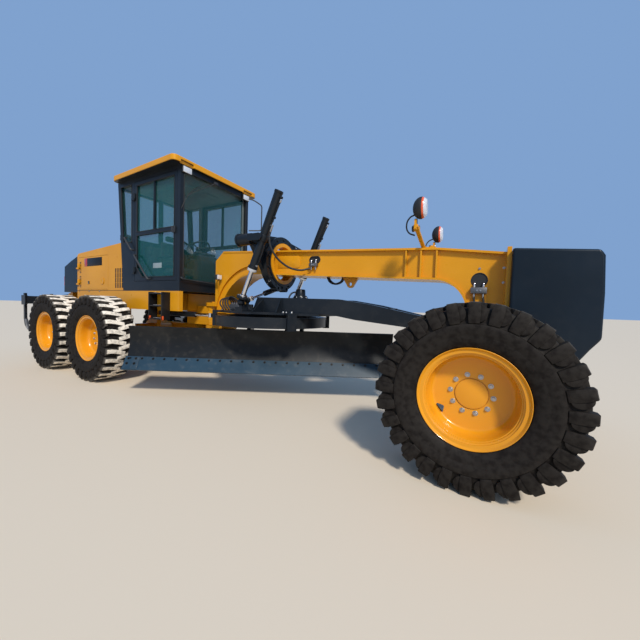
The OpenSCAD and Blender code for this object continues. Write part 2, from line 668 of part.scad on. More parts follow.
module front_axle() color(amber) {
    across(105) polygon([[-110, hub_z - 10], [110, hub_z - 10], [110, hub_z + 150], [60, hub_z + 200],
        [-60, hub_z + 200], [-110, hub_z + 150]]);
    both() along(-85, 85) polygon([[0, hub_z - 10], [knuckle_y - 160, hub_z - 110],
        [knuckle_y - 160, hub_z + 90], [0, hub_z + 150]]);
    bar_x([-155, 0, hub_z + 80], 310, 105);
    bar_x([-199, 0, hub_z + 80], 398, 40);
    both() {
        block([-78, knuckle_y - 240, hub_z - 155], [78, knuckle_y - 160, hub_z + 155]);
        for (z = [hub_z - 155, hub_z + 115]) {
            block([-78, knuckle_y - 170, z], [78, knuckle_y, z + 40]);
            bar_z([0, knuckle_y, z], 40, 78);
        }
        bar_z([0, knuckle_y, hub_z - 150], 300, kingpin_d/2);
    }
}

// Valve blocks, lamps on their posts and the work lamp of the front half
module front_fittings() color([0.2, 0.2, 0.21]) {
    both() block([-1990, web_half, 1790], [-1870, web_half + 45, 1835]);
    both() block([-90, web_half, 1450], [60, web_half + 50, 1512]);
    both() between(lamp[1] - 78, lamp[1] + 78) polygon([for (p = [[-75, -55], [-75, 55], [-35, 98], [35, 105], [58, 95],
        [58, -95], [30, -lamp_low], [-45, -lamp_low]]) [lamp[0] + p[0], lamp[2] + p[1]]]);
    block([-3640, -plate_half - 110, 1640], [-3560, -plate_half - 20, 1720]);
    bar_y([-3600, -plate_half - 21, 1680], 21, 12);
}

module knuckle(side) color(black) on_side(side) difference() {
    union() {
        bar_z([0, knuckle_y, hub_z - 110], 220, knuckle_r);
        bar_y([0, knuckle_y, hub_z], stub_end - knuckle_y, stub_r);
        block([arm_x, knuckle_y - 20, arm_z], [0, knuckle_y + 20, arm_z + 40]);
        bar_z([arm_x, knuckle_y, arm_z], 40, 30);
    }
    bar_z([0, knuckle_y, hub_z - 120], 240, kingpin_d/2 + fit);
    bar_z([arm_x, knuckle_y, arm_z - 10], 60, 14 + fit);
}

module tie_rod() color(black) {
    bar_y([arm_x, -knuckle_y, arm_z - 35], 2*knuckle_y, 20);
    both() bar_z([arm_x, knuckle_y, arm_z - 57], 52, 27);
    both() bar_z([arm_x, knuckle_y, arm_z - 10], 50, 14);
}

module drawbar_ball() color(steel) {
    translate([joint_x, 0, joint_z]) intersection() {
        sphere(60);
        cube([200, 200, 148], center = true);
    }
    bar_z([joint_x, 0, joint_z - 105], 210, joint_r);
    bar_y([joint_x, -100, joint_z], 200, joint_r);
}

module drawbar() color(navy) difference() {
    union() {
        translate([0, 0, deck_low]) linear_extrude(deck_t) difference() {
            polygon([for (s = [1, -1]) for (p = s > 0 ? drawbar_plan() : reversed(drawbar_plan())) [p[0], s*p[1]]]);
            translate([circle_x, 0]) circle(300);
        }
        intersection() {
            across(600) polygon([[-2980, deck_top - 1], [-2980, 1235], [-2700, 1235], [-2640, 1374], [-1500, 1368], [-1100, 1312],
                [-550, 1203], [joint_x, joint_z + 55], [joint_x, joint_z - 55], [-650, 1068], [-1300, 1130],
                [-1600, deck_top - 1]]);
            translate([0, 0, 900]) linear_extrude(600) for (s = [-1, 1]) polygon([for (p = [[-2980, 350],
                [-2980, 470], [-560, 175], [-400, ear_y + ear_t], [joint_x, ear_y + ear_t], [joint_x, ear_y],
                [-400, ear_y], [-620, 75]]) [p[0], s*p[1]]]);
        }
        both() bar_y([joint_x, ear_y, joint_z], ear_t, 56);
        block([-1000, -150, 1115], [-900, 150, 1280]);
        block([-2060, -330, deck_top - 1], [-1960, 330, 1330]);
        block([-2900, -400, deck_top - 1], [-2810, 400, 1230]);
        for (g = [[-2560, 630], [-2280, 500]]) both() along(g[0], g[0] + 14)
            polygon([[400, 1365], [400, deck_top - 1], [g[1], deck_top - 1]]);
        // ball studs of the lift and shift cylinders
        both() stud([ball_x, lift_half - 2, ball_z], ball_r);
        stud([shift_x, shift_ball[0], shift_ball[1]], shift_ball_r);
        // shoes that hold the circle, and its turning gear
        for (a = [35, 145, 215, 325]) translate([circle_x, 0, 0]) rotate([0, 0, a]) {
            block([circle_r + 6, -60, ring_low - 25], [circle_r + 50, 60, deck_low + 1]);
            block([circle_r - 45, -60, ring_low - 25], [circle_r + 50, 60, ring_low - seat]);
            block([circle_r - 300, -60, deck_low], [circle_r + 50, 60, deck_top]);
        }
        bar_z([-2230, 0, deck_low - 20], 250, 120);
    }
    both() bar_y([joint_x, ear_y - 10, joint_z], ear_t + 20, joint_r + fit);
}
function drawbar_plan() = [[-1750, 330], [-2000, 400], [-2640, 650], [-2900, 650], [-3300, 470], [-3420, 330]];
module stud(p, r) {
    block([p[0] - 60, p[1] - 48, deck_top - 1], [p[0] + 60, p[1] + 48, p[2] - r - 15]);
    bar_z([p[0], p[1], p[2] - r - 20], 30, r/2);
    translate(p) sphere(r);
}

// Shapes of the blade group are drawn in the circle's own frame: X ahead of it, Y from heel to toe
module on_circle() translate([circle_x, 0, 0]) rotate([0, 0, -blade_angle]) children();

module circle_ring() color(navy) {
    translate([circle_x, 0, ring_low]) linear_extrude(ring_h) difference() {
        circle(circle_r, $fn = 128);
        circle(circle_r - ring_w, $fn = 128);
    }
    on_circle() {
        for (s = [-1, 1]) between(s*arm_u - 30, s*arm_u + 30) {
            translate(tip) circle(75);
            polygon([[-590, ring_low + 1], [-590, 900], [-300, 560], tip + [-60, -72], tip + [20, -72],
                tip + [20, 72], [-250, 820], [-400, ring_low + 1]]);
        }
        bar_y([tip[0], -arm_u - 115, tip[1]], 2*arm_u + 230, 40);
        block([-590, -arm_u, 900], [-530, arm_u, ring_low + 1]);
    }
}

module blade_carrier() color(navy) on_circle() difference() {
    for (s = [-1, 1]) between(s*(arm_u + 75) - 30, s*(arm_u + 75) + 30) {
        translate(tip) circle(75);
        for (p = rails) translate(p) circle(55);
        polygon([tip + [-65, 20], rails[0] + [-50, 0], rails[0] + [48, 0], rails[1] + [-20, 170],
            rails[1] + [45, 25], rails[1] + [0, -50], tip + [0, -70]]);
    }
    bar_y([tip[0], -700, tip[1]], 1400, 40 + fit);
    for (p = rails) bar_y([p[0], -700, p[1]], 1400, rail_r + fit);
}

module moldboard() color(navy) on_circle() {
    between(-heel_reach, blade_len - heel_reach) polygon(concat(
        arc(mold_c, moldboard_r, 180 + chord_a - half_sweep, 180 + chord_a + half_sweep, 10),
        arc(mold_c, moldboard_r + moldboard_t, 180 + chord_a + half_sweep, 180 + chord_a - half_sweep, 10)));
    for (p = rails) bar_y([p[0], -1250, p[1]], 2500, rail_r);
    for (u = [-1250, 1210]) between(u, u + 40) {
        for (p = rails) translate(p) circle(50);
        polygon(concat([rails[1] + [0, -48], rails[1] + [-49, 0], rails[0] + [-49, 0], rails[0] + [0, 48]],
            arc(mold_c, moldboard_r + moldboard_t/2, 180 + chord_a - half_sweep + 12, 180 + edge_a - 1, 4)));
    }
}

module cutting_edge() color([0.35, 0.42, 0.5]) on_circle() between(-heel_reach, blade_len - heel_reach)
    translate(mold_low) rotate(edge_a - 90) translate([-edge_lap, edge_off]) square([edge_len + edge_lap, edge_t]);

// Yoke that lets a lift cylinder lean both ways
module collar(side) color(navy) translate([0, side*lift_half, trunnion_z]) difference() {
    union() {
        bar_x([saddle_x - 220, 0, 0], 240, 35);
        block([saddle_x + gap, -98, -45], [saddle_x + 35, 98, 45]);
        for (s = [-1, 1]) between(s*78, s*98) bone([saddle_x + 50, 0], [trunnion_x, 0], 45);
    }
    bar_y([trunnion_x, -110, 0], 220, 25 + fit);
}

// Lift cylinder parts are drawn along Z from the ball, then leaned forward
module leaned(side) translate([ball_x, side*lift_half, ball_z]) rotate([0, lift_lean, 0]) children();
module lift_barrel(side) color(navy) leaned(side) difference() {
    union() {
        bar_z([0, 0, gland_s], 60, barrel_r + 7);
        bar_z([0, 0, gland_s + 50], barrel_len - 50, barrel_r);
        bar_y([0, -98, lift_s], 196, 25);
    }
    bar_z([0, 0, gland_s - 1], barrel_len - 40, lift_rod_r + fit);
}
module lift_rod(side) color(steel) leaned(side) {
    bar_z([0, 0, 80], 1040, lift_rod_r);
    bar_z([0, 0, ball_r + 6], 50, 52);
}

// Centre shift cylinder, drawn along -Y from its pin in the saddle
module shifted() translate([shift_x, shift_pin[0], shift_pin[1]]) rotate([shift_a, 0, 0]) children();
shift_gap = 26;                                    // its rod stands off the ball, which it can't follow
module shift_barrel() color(navy) {
    shifted() difference() {
        bar_y([0, -255, 0], 485, 38);
        bar_y([0, -256, 0], 470, 16 + fit);
    }
    bar_x([shift_x + 24, shift_pin[0], shift_pin[1]], saddle_x + 40 - shift_x - 24, 20);
}
module shift_rod() color(steel) shifted() {
    bar_y([0, shift_gap + shift_ball_r - shift_len, 0], shift_len - shift_ball_r - shift_gap - 15, 16);
    bar_y([0, shift_gap + shift_ball_r - shift_len, 0], 30, 34);
}

// Steering cylinder, drawn along X from its pin on the rear frame
module steered(side) on_side(side) translate([steer_pin[0], steer_pin[1], steer_z]) rotate([0, 0, steer_a]) children();
module steer_barrel(side) color(navy) steered(side) difference() {
    union() {
        bar_z([0, 0, -33], 66, 45);
        bar_z([0, 0, -70], 140, 22);
        block([0, -30, -30], [70, 30, 30]);
        bar_x([58, 0, 0], 742, 42);
    }
    bar_x([90, 0, 0], 760, 25 + fit);
}
module steer_rod(side) color(steel) steered(side) {
    bar_x([360, 0, 0], steer_len - 360, 25);
    bar_z([steer_len, 0, -30], 60, 36);
}

// Ripper on a parallelogram of links, lifted by one cylinder
module ripper() color(navy) {
    block([ripper_x - 80, -ripper_half, ripper_z - 85], [ripper_x + 80, ripper_half, ripper_z + 85]);
    both() block([ripper_x - 100, ripper_half - 20, ripper_z - 110], [ripper_x + 100, ripper_half, ripper_z + 100]);
    both() between(390, 425) {
        bone(link_pins[0] + link_v, link_pins[1] + link_v, 42);
        polygon([[ripper_x, ripper_z - 80], [ripper_x, ripper_z + 80], link_pins[1] + link_v, link_pins[0] + link_v]);
    }
    for (p = link_pins) both() bar_y([p[0] + link_v[0], 350, p[1] + link_v[1]], 60, 22);
    for (k = [0 : shanks - 1]) let (y = -ripper_half + 60 + k*(2*ripper_half - 120)/(shanks - 1))
        between(y - 22, y + 22) polygon([for (p = [[-110, 150], [-110, -420], [-60, -560], [90, -660], [10, -520],
            [-40, -400], [-40, 150]]) [ripper_x + p[0], ripper_z + p[1]]]);
}
module link(k) difference() {
    both() between(350, 380) bone(link_pins[k], link_pins[k] + link_v, 38);
    both() for (p = [link_pins[k], link_pins[k] + link_v]) bar_y([p[0], 340, p[1]], 60, 22 + fit);
}
module ripper_lower_link() color(navy) {
    link(0);
    tube = link_pins[0] + 0.6875*link_v;
    bar_y([tube[0], -351, tube[1]], 702, 28);
    both() between(40, 60) bone(tube, link_eye, 34);
}
module ripper_upper_link() color(navy) link(1);

// Ripper cylinder, drawn along -X from its pin on the rear frame
module rammed() translate([ram_pin[0], 0, ram_pin[1]]) rotate([0, -ram_a, 0]) children();
module ripper_barrel() color(navy) rammed() difference() {
    union() {
        bar_y([0, -42, 0], 84, 45);
        bar_x([-570, 0, 0], 550, 42);
    }
    bar_x([-600, 0, 0], 500, 25 + fit);
    bar_y([0, -50, 0], 100, 22 + fit);
}
module ripper_rod() color(steel) rammed() {
    bar_x([-ram_len, 0, 0], ram_len - 250, 25);
    bar_y([-ram_len, -34, 0], 68, 34);
}

home() rear_frame();
home() rear_axle();
home() engine();
home() hood();
home() rear_housing();
home() rear_fittings();
home() cab_shell();
home() cab_roof();
home() cab_glass();
home() seat_and_console();
home() front_frame();
home() saddle();
home() nose_weight();
home() front_axle();
home() front_fittings();
home() tie_rod();
home() drawbar_ball();
home() drawbar();
home() circle_ring();  // circle
home() blade_carrier();
home() moldboard();
home() cutting_edge();
home() shift_barrel();
home() shift_rod();
home() ripper();
home() ripper_lower_link();
home() ripper_upper_link();
home() ripper_barrel();
home() ripper_rod();
for (s = SIDES) home() {
    door(s[0]);
    door_glass(s[0]);
    hood_door(s[0]);
    knuckle(s[0]);
    collar(s[0]);
    lift_barrel(s[0]);
    lift_rod(s[0]);
    steer_barrel(s[0]);
    steer_rod(s[0]);
    for (k = [0 : 2]) {
        axle = ["front", "mid", "back"][k];
        tyre(wheel_x[k], s[0]);
        rim(k, s[0]);
    }
}
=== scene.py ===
from math import cos, hypot, pi, radians, sin, sqrt
import bpy
from mathutils import Matrix, Vector
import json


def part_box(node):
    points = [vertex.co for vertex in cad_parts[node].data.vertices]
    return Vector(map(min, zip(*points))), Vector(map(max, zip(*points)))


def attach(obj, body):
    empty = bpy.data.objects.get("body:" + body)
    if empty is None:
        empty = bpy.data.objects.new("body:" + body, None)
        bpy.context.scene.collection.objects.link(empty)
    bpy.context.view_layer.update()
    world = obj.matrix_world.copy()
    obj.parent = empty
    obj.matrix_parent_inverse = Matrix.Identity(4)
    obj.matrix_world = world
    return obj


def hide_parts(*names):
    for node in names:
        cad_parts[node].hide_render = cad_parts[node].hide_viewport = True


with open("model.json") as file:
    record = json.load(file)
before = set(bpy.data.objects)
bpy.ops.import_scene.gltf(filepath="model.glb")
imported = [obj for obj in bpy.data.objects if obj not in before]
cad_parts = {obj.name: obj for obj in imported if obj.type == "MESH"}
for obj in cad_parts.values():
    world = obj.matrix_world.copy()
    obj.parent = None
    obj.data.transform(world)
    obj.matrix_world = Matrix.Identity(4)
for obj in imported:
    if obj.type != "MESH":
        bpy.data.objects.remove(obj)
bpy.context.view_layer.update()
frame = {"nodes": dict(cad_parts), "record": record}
record = frame["record"]
bodyOf = {node: body for body, nodes in record["behaviour"]["bodies"].items() for node in nodes}
slotOf = {part["node"]: part["material_slot"] for part in record["subparts"]}
sides = {"right": -1, "left": 1}


def middle(node):
    low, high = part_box(node)
    return (low + high) / 2


# Places are metres ahead of the front axle, left of the machine's middle and above the floor
axleX = middle("front_right_tyre").x
midY = (middle("front_right_tyre").y + middle("front_left_tyre").y) / 2
hubZ = middle("front_right_tyre").z
trackHalf = middle("front_left_tyre").y - midY
wheelX = {row: middle(row + "_right_tyre").x - axleX for row in ("front", "mid", "back")}


def at(x, y, z):
    return Vector((x + axleX, y + midY, z))


# Shader maths


class Wire:
    def __init__(self, finish, out):
        self.finish, self.out = finish, out

    def maths(self, operation, first, second):
        return self.finish.node("Math", {0: first, 1: second}, operation=operation)

    def __add__(self, other):
        return self.maths("ADD", self, other)

    def __radd__(self, other):
        return self.maths("ADD", other, self)

    def __sub__(self, other):
        return self.maths("SUBTRACT", self, other)

    def __rsub__(self, other):
        return self.maths("SUBTRACT", other, self)

    def __mul__(self, other):
        return self.maths("MULTIPLY", self, other)

    def __rmul__(self, other):
        return self.maths("MULTIPLY", other, self)

    def between(self, low, high):
        return self.finish.node("MapRange", {"Value": self, "From Min": low, "From Max": high},
                                interpolation_type="SMOOTHSTEP")


class Finish:
    def __init__(self, name, colour=(0.5, 0.5, 0.5), **fixed):
        self.material = bpy.data.materials.new(name)
        self.material.use_nodes = True
        self.tree = self.material.node_tree
        self.shader = self.tree.nodes["Principled BSDF"]
        self.shader.inputs["Base Color"].default_value = (*colour, 1)
        for socket, value in fixed.items():
            self.shader.inputs[socket.replace("_", " ")].default_value = value

    def node(self, kind, inputs=None, output=0, **settings):
        made = self.tree.nodes.new("ShaderNode" + kind)
        for key, value in settings.items():
            setattr(made, key, value)
        for key, value in (inputs or {}).items():
            if isinstance(value, Wire):
                self.tree.links.new(value.out, made.inputs[key])
            else:
                made.inputs[key].default_value = value
        return Wire(self, made.outputs[output])

    def noise(self, scale, detail=4, stretch=(1, 1, 1)):
        place = self.node("TexCoord", output="Object")
        place = self.node("Mapping", {"Vector": place, "Scale": stretch})
        return self.node("TexNoise", {"Vector": place, "Scale": scale, "Detail": detail})

    def mixed(self, factor, first, second):
        first, second = [c if isinstance(c, Wire) else (*c, 1) for c in (first, second)]
        return self.node("Mix", {0: factor, 6: first, 7: second}, output=2, data_type="RGBA")

    def feed(self, socket, wire):
        self.tree.links.new(wire.out, self.shader.inputs[socket])

    def bump(self, height, strength=0.2, distance=0.002):
        self.feed("Normal", self.node("Bump", {"Height": height, "Strength": strength, "Distance": distance}))


dust = (0.6, 0.5, 0.37)


# Sprayed enamel with a little orange peel, an uneven tone, and dust that thins out with height
def paint(name, colour, dark, dusty=0.25, rough=0.32, coat=0.35):
    made = Finish(name, Coat_Weight=coat, Coat_Roughness=0.12, Specular_IOR_Level=0.22)
    tone = made.mixed(made.noise(1.7, 5).between(0.3, 0.75), dark, colour)
    height = made.node("SeparateXYZ", {0: made.node("TexCoord", output="Object")}, output=2)
    low = 1 - height.between(0.2, 1.9)
    specks = made.noise(13, 8).between(0.5, 0.8)
    film = made.noise(3.4, 8).between(0.45, 0.9)
    cover = (specks * 0.45 + film * 0.5) * (low * dusty + dusty * 0.2)
    made.feed("Base Color", made.mixed(cover, tone, dust))
    made.feed("Roughness", cover * 0.5 + made.noise(14, 3) * 0.12 + (rough - 0.06))
    made.bump(made.noise(220, 2) + made.noise(5, 3) * 0.6, 0.035, 0.002)
    return made.material


def metal(name, bright, dull, rough=0.25, strength=0.1):
    made = Finish(name, Metallic=1.0)
    marks = made.noise(60, 6)
    made.feed("Base Color", made.mixed(made.noise(3, 5).between(0.3, 0.8), bright, dull))
    made.feed("Roughness", marks * 0.25 + (rough - 0.08))
    made.bump(marks, strength, 0.001)
    return made.material


# Tyre rubber: dust lies on what the tread attribute marks and in a thin film over the rest
def rubber(name, colour, dusty, rough=0.62):
    made = Finish(name, Specular_IOR_Level=0.1)
    tread = made.node("Attribute", output="Fac", attribute_name="tread")
    specks = made.noise(26, 8).between(0.3, 0.62)
    wide = made.noise(4.5, 4).between(0.2, 0.5)
    cover = tread * (specks * 0.45 + wide * 0.6) * dusty + specks * 0.012
    made.feed("Base Color", made.mixed(cover, colour, (0.86, 0.78, 0.66)))
    made.feed("Roughness", cover * 0.3 + made.noise(30, 4) * 0.15 + (rough - 0.08))
    made.bump(made.noise(90, 5), 0.12, 0.002)
    return made.material


def plain(name, colour, rough=0.5, grain=120, strength=0.1, **fixed):
    made = Finish(name, **fixed)
    darker = [c * 0.78 for c in colour]
    made.feed("Base Color", made.mixed(made.noise(6, 5).between(0.3, 0.8), colour, darker))
    made.feed("Roughness", made.noise(25, 4) * 0.18 + (rough - 0.09))
    made.bump(made.noise(grain, 3), strength, 0.001)
    return made.material


def glass(name, colour, alpha):
    made = Finish(name, colour, Alpha=alpha, Coat_Weight=0.6, Coat_Roughness=0.02, Specular_IOR_Level=0.6)
    made.feed("Roughness", made.noise(2.2, 6).between(0.35, 0.9) * 0.08 + 0.03)
    made.bump(made.noise(1.1, 2), 0.03, 0.01)
    return made.material


def woven(name, colour):
    made = Finish(name, Sheen_Weight=0.25)
    weave = made.noise(420, 2, (1, 0.25, 1)) + made.noise(420, 2, (0.25, 1, 1))
    made.feed("Base Color", made.mixed(weave.between(0.8, 1.3), [c * 0.6 for c in colour], colour))
    made.feed("Roughness", weave * 0.1 + 0.7)
    made.bump(weave, 0.3, 0.0015)
    return made.material


finishes = {
    "yellow": paint("yellowEnamel", (0.68, 0.3, 0.01), (0.61, 0.262, 0.008), 0.08, 0.3, 0.12),
    "rimYellow": paint("rimEnamel", (0.7, 0.29, 0.01), (0.64, 0.255, 0.008), 0.04, 0.24, 0.4),
    "charcoal": paint("charcoalEnamel", (0.01, 0.014, 0.019), (0.007, 0.01, 0.014), 0.05, 0.34, 0.1),
    "navy": paint("navyEnamel", (0.005, 0.012, 0.021), (0.004, 0.009, 0.015), 0.02, 0.34, 0.08),
    "blackPaint": paint("blackEnamel", (0.007, 0.007, 0.008), (0.005, 0.005, 0.005), 0.06, 0.42, 0.05),
    "blade": paint("bladeEnamel", (0.008, 0.009, 0.01), (0.006, 0.007, 0.008), 0.06, 0.44, 0.04),
    "edge": paint("edgeEnamel", (0.02, 0.048, 0.074), (0.014, 0.034, 0.054), 0.08, 0.36, 0.15),
    "chrome": metal("hardChrome", (0.8, 0.8, 0.82), (0.62, 0.63, 0.66), 0.14, 0.02),
    "steel": metal("zincSteel", (0.52, 0.52, 0.52), (0.34, 0.34, 0.33), 0.34),
    "casting": metal("greyCasting", (0.2, 0.2, 0.205), (0.12, 0.12, 0.12), 0.5, 0.4),
    "tyre": rubber("tyreRubber", (0.009, 0.007, 0.006), 0.08),
    "dustyTyre": rubber("dustyTyreRubber", (0.009, 0.007, 0.006), 1.0, 0.7),
    "rubber": plain("blackRubber", (0.012, 0.012, 0.013), 0.55),
    "plastic": plain("mouldedPlastic", (0.03, 0.031, 0.034), 0.48, 320, 0.15),
    "lining": plain("greyLining", (0.19, 0.2, 0.2), 0.75, 260, 0.2),
    "glass": glass("tintedGlass", (0.008, 0.12, 0.115), 0.32),
    "screen": glass("screenGlass", (0.016, 0.085, 0.08), 0.24),
    "lens": glass("lampLens", (0.86, 0.88, 0.9), 0.55),
    "orange": plain("orangeLens", (0.75, 0.1, 0.02), 0.2, Coat_Weight=0.6),
    "red": plain("redLens", (0.45, 0.02, 0.015), 0.22, Coat_Weight=0.6),
    "mirror": metal("reflector", (0.85, 0.85, 0.86), (0.75, 0.75, 0.76), 0.1, 0.02),
    "cloth": woven("seatCloth", (0.035, 0.036, 0.042)),
}
print("finishes made", len(finishes))

# Modelling helpers


# Selects these pieces alone, or nothing
def pick(*pieces):
    bpy.ops.object.select_all(action="DESELECT")
    for piece in pieces:
        piece.select_set(True)
    if pieces:
        bpy.context.view_layer.objects.active = pieces[0]


def newest(name="shape"):
    piece = bpy.context.active_object
    piece.name = name
    pick(piece)
    bpy.ops.object.transform_apply(location=True, rotation=True, scale=True)
    return piece


# Runs edit-mode steps on all of a piece
def edit(piece, *steps):
    pick(piece)
    bpy.ops.object.mode_set(mode="EDIT")
    bpy.ops.mesh.select_all(action="SELECT")
    for step in steps:
        step()
    bpy.ops.object.mode_set(mode="OBJECT")


def pull(way):
    bpy.ops.mesh.extrude_region_move(TRANSFORM_OT_translate={"value": way})
    bpy.ops.mesh.select_all(action="SELECT")


def mend():
    bpy.ops.mesh.remove_doubles(threshold=0.00002)
    bpy.ops.mesh.normals_make_consistent(inside=False)


def modify(piece, kind, **settings):
    pick(piece)
    made = piece.modifiers.new(kind.lower(), kind)
    for key, value in settings.items():
        setattr(made, key, value)
    bpy.ops.object.modifier_apply(modifier=made.name)
    return piece


def rounded(piece, width=0.003, segments=2):
    if width > 0:
        modify(piece, "BEVEL", width=width, segments=segments, limit_method="ANGLE",
               angle_limit=radians(34), miter_outer="MITER_ARC")
    pick(piece)
    bpy.ops.object.shade_smooth_by_angle(angle=radians(38))
    return piece


def coat(piece, finish):
    piece.data.materials.clear()
    piece.data.materials.append(finishes[finish])
    return piece


def block(low, high, finish, bevel=0.003):
    pick()
    low, high = at(*low), at(*high)
    bpy.ops.mesh.primitive_cube_add(size=1, location=(low + high) / 2, scale=high - low)
    return coat(rounded(newest(), bevel), finish)


# Two distances from the middle, as places on one side in rising order
def span(way, inner, outer):
    return sorted((way * inner, way * outer))


# A block on one side, whose second places are distances from the middle
def sideBlock(way, low, high, finish, bevel=0.003):
    y = span(way, low[1], high[1])
    return block((low[0], y[0], low[2]), (high[0], y[1], high[2]), finish, bevel)


def rod(start, end, radius, finish, bevel=0.002, turns=32):
    pick()
    start, end = at(*start), at(*end)
    along = end - start
    bpy.ops.mesh.primitive_cylinder_add(vertices=turns, radius=radius, depth=along.length,
                                        location=(start + end) / 2,
                                        rotation=along.to_track_quat("Z", "Y").to_euler())
    return coat(rounded(newest(), bevel), finish)


# Spins a closed outline of (distance along, radius) about the line from start to towards
def turned(profile, start, towards, finish, turns=48, bevel=0.0):
    pick()
    bpy.ops.mesh.primitive_circle_add(vertices=len(profile))
    piece = bpy.context.active_object
    for vertex, (along, radius) in zip(piece.data.vertices, profile):
        vertex.co = (radius, 0, along)
    edit(piece, lambda: bpy.ops.mesh.spin(steps=turns, angle=2 * pi, center=(0, 0, 0), axis=(0, 0, 1)), mend)
    start, towards = at(*start), at(*towards)
    turn = (towards - start).to_track_quat("Z", "Y").to_matrix().to_4x4()
    piece.data.transform(Matrix.Translation(start) @ turn)
    return coat(rounded(piece, bevel), finish)


# Extrudes an outline of (ahead, up) from one place across the machine to another
def plate(outline, low, high, finish, bevel=0.003):
    pick()
    bpy.ops.mesh.primitive_circle_add(vertices=len(outline), fill_type="NGON")
    piece = bpy.context.active_object
    for vertex, (x, z) in zip(piece.data.vertices, outline):
        vertex.co = at(x, low, z)
    edit(piece, lambda: pull((0, high - low, 0)), mend)
    return coat(rounded(piece, bevel), finish)


# A round tube through points, curved between them or bent at them
def hose(points, radius, finish="rubber", smooth=True, turns=6):
    pick()
    bpy.ops.curve.primitive_bezier_curve_add(location=(0, 0, 0))
    curve = bpy.context.active_object
    spline = curve.data.splines[0]
    spline.bezier_points.add(len(points) - 2)
    for knot, point in zip(spline.bezier_points, points):
        knot.co = at(*point)
        knot.handle_left_type = knot.handle_right_type = "AUTO" if smooth else "VECTOR"
    curve.data.bevel_depth = radius
    curve.data.bevel_resolution = turns // 2
    curve.data.resolution_u = 8 if smooth else 1
    curve.data.use_fill_caps = True
    bpy.ops.object.convert(target="MESH")
    piece = newest()
    edit(piece, mend)
    return coat(rounded(piece, 0), finish)


# A tube round an outline of (ahead, up)
def seal(outline, y, radius=0.008, turns=4):
    return hose([(x, y, z) for x, z in outline + outline[:1]], radius, "rubber", smooth=False, turns=turns)


# A pipe with round bends: each corner is cut back and curved
def bent(points, radius, finish, bend=0.04):
    path = [Vector(points[0])]
    for before, corner, after in zip(points, points[1:], points[2:]):
        before, corner, after = Vector(before), Vector(corner), Vector(after)
        back = corner + (before - corner).normalized() * bend
        on = corner + (after - corner).normalized() * bend
        for k in range(6):
            t = k / 5
            path.append(back * (1 - t) ** 2 + corner * 2 * t * (1 - t) + on * t * t)
    path.append(Vector(points[-1]))
    return hose(path, radius, finish, smooth=False)


def copyOf(piece, matrix):
    twin = piece.copy()
    twin.data = piece.data.copy()
    bpy.context.collection.objects.link(twin)
    twin.data.transform(matrix)
    if matrix.determinant() < 0:
        twin.data.flip_normals()
    return twin


# The same piece on the machine's other side
def mirrored(piece):
    over = Matrix.Translation((0, midY, 0)) @ Matrix.Diagonal((1, -1, 1, 1)) @ Matrix.Translation((0, -midY, 0))
    return copyOf(piece, over)


def joined(name, pieces):
    pick(*pieces)
    if len(pieces) > 1:
        bpy.ops.object.join()
    piece = bpy.context.active_object
    piece.name = name
    return piece


# Joins pieces, puts them on a body and hides the imported nodes that they stand for
def ready(name, pieces, body, slot, *nodes):
    piece = joined(name, pieces if isinstance(pieces, list) else [pieces])
    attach(piece, body)
    if nodes:
        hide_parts(*nodes)
    return piece


# Trim of a right-hand body, and its mirror image on the left-hand one
def readyPair(name, pieces, node):
    others = [mirrored(piece) for piece in pieces]
    for side, group in (("right", pieces), ("left", others)):
        ready(side + name, group, side + "_" + node, slotOf[side + "_" + node])


boltShape = None


# Hexagon heads on washers at places, with their axes along a direction
def bolts(places, direction, size=0.012, finish="steel"):
    global boltShape
    if boltShape is None:
        pick()
        bpy.ops.mesh.primitive_cylinder_add(vertices=6, radius=1, depth=1.1, location=(0, 0, 0.7))
        head = rounded(newest("head"), 0.12, 1)
        pick()
        bpy.ops.mesh.primitive_cylinder_add(vertices=14, radius=1.5, depth=0.3, location=(0, 0, 0.1))
        washer = rounded(newest("washer"), 0.05, 1)
        boltShape = joined("boltShape", [head, washer])
    turn = Vector(direction).to_track_quat("Z", "Y").to_matrix().to_4x4()
    made = []
    for place in places:
        matrix = Matrix.Translation(at(*place)) @ turn @ Matrix.Diagonal((size, size, size, 1))
        made.append(coat(copyOf(boltShape, matrix), finish))
    return made


# Places on a circle about an axis x, y or z
def ring(centre, axis, radius, count, start=0.0):
    places = []
    for k in range(count):
        a = start + 2 * pi * k / count
        u, v = radius * cos(a), radius * sin(a)
        step = {"x": (0, u, v), "y": (u, 0, v), "z": (u, v, 0)}[axis]
        places.append(tuple(c + d for c, d in zip(centre, step)))
    return places


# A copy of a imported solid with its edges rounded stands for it
def dressed(node, finish, bevel=0.005, segments=2, shape=None):
    source = frame["nodes"][node]
    piece = source.copy()
    piece.data = source.data.copy()
    for key in list(piece.keys()):
        del piece[key]
    bpy.context.collection.objects.link(piece)
    piece.parent = None
    piece.matrix_world = Matrix.Identity(4)
    edit(piece, lambda: bpy.ops.mesh.remove_doubles(threshold=0.00001))
    if node not in openWalls:
        edit(piece, lambda: bpy.ops.mesh.dissolve_limited(angle_limit=radians(0.6)))
    if shape:
        shape(piece)
    rounded(piece, bevel, segments)
    modify(piece, "WEIGHTED_NORMAL", keep_sharp=True)
    return ready("dressed_" + node, coat(piece, finish), bodyOf[node], slotOf[node], node)


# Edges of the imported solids. Walls with several openings stay in triangles, because their faces can't be joined

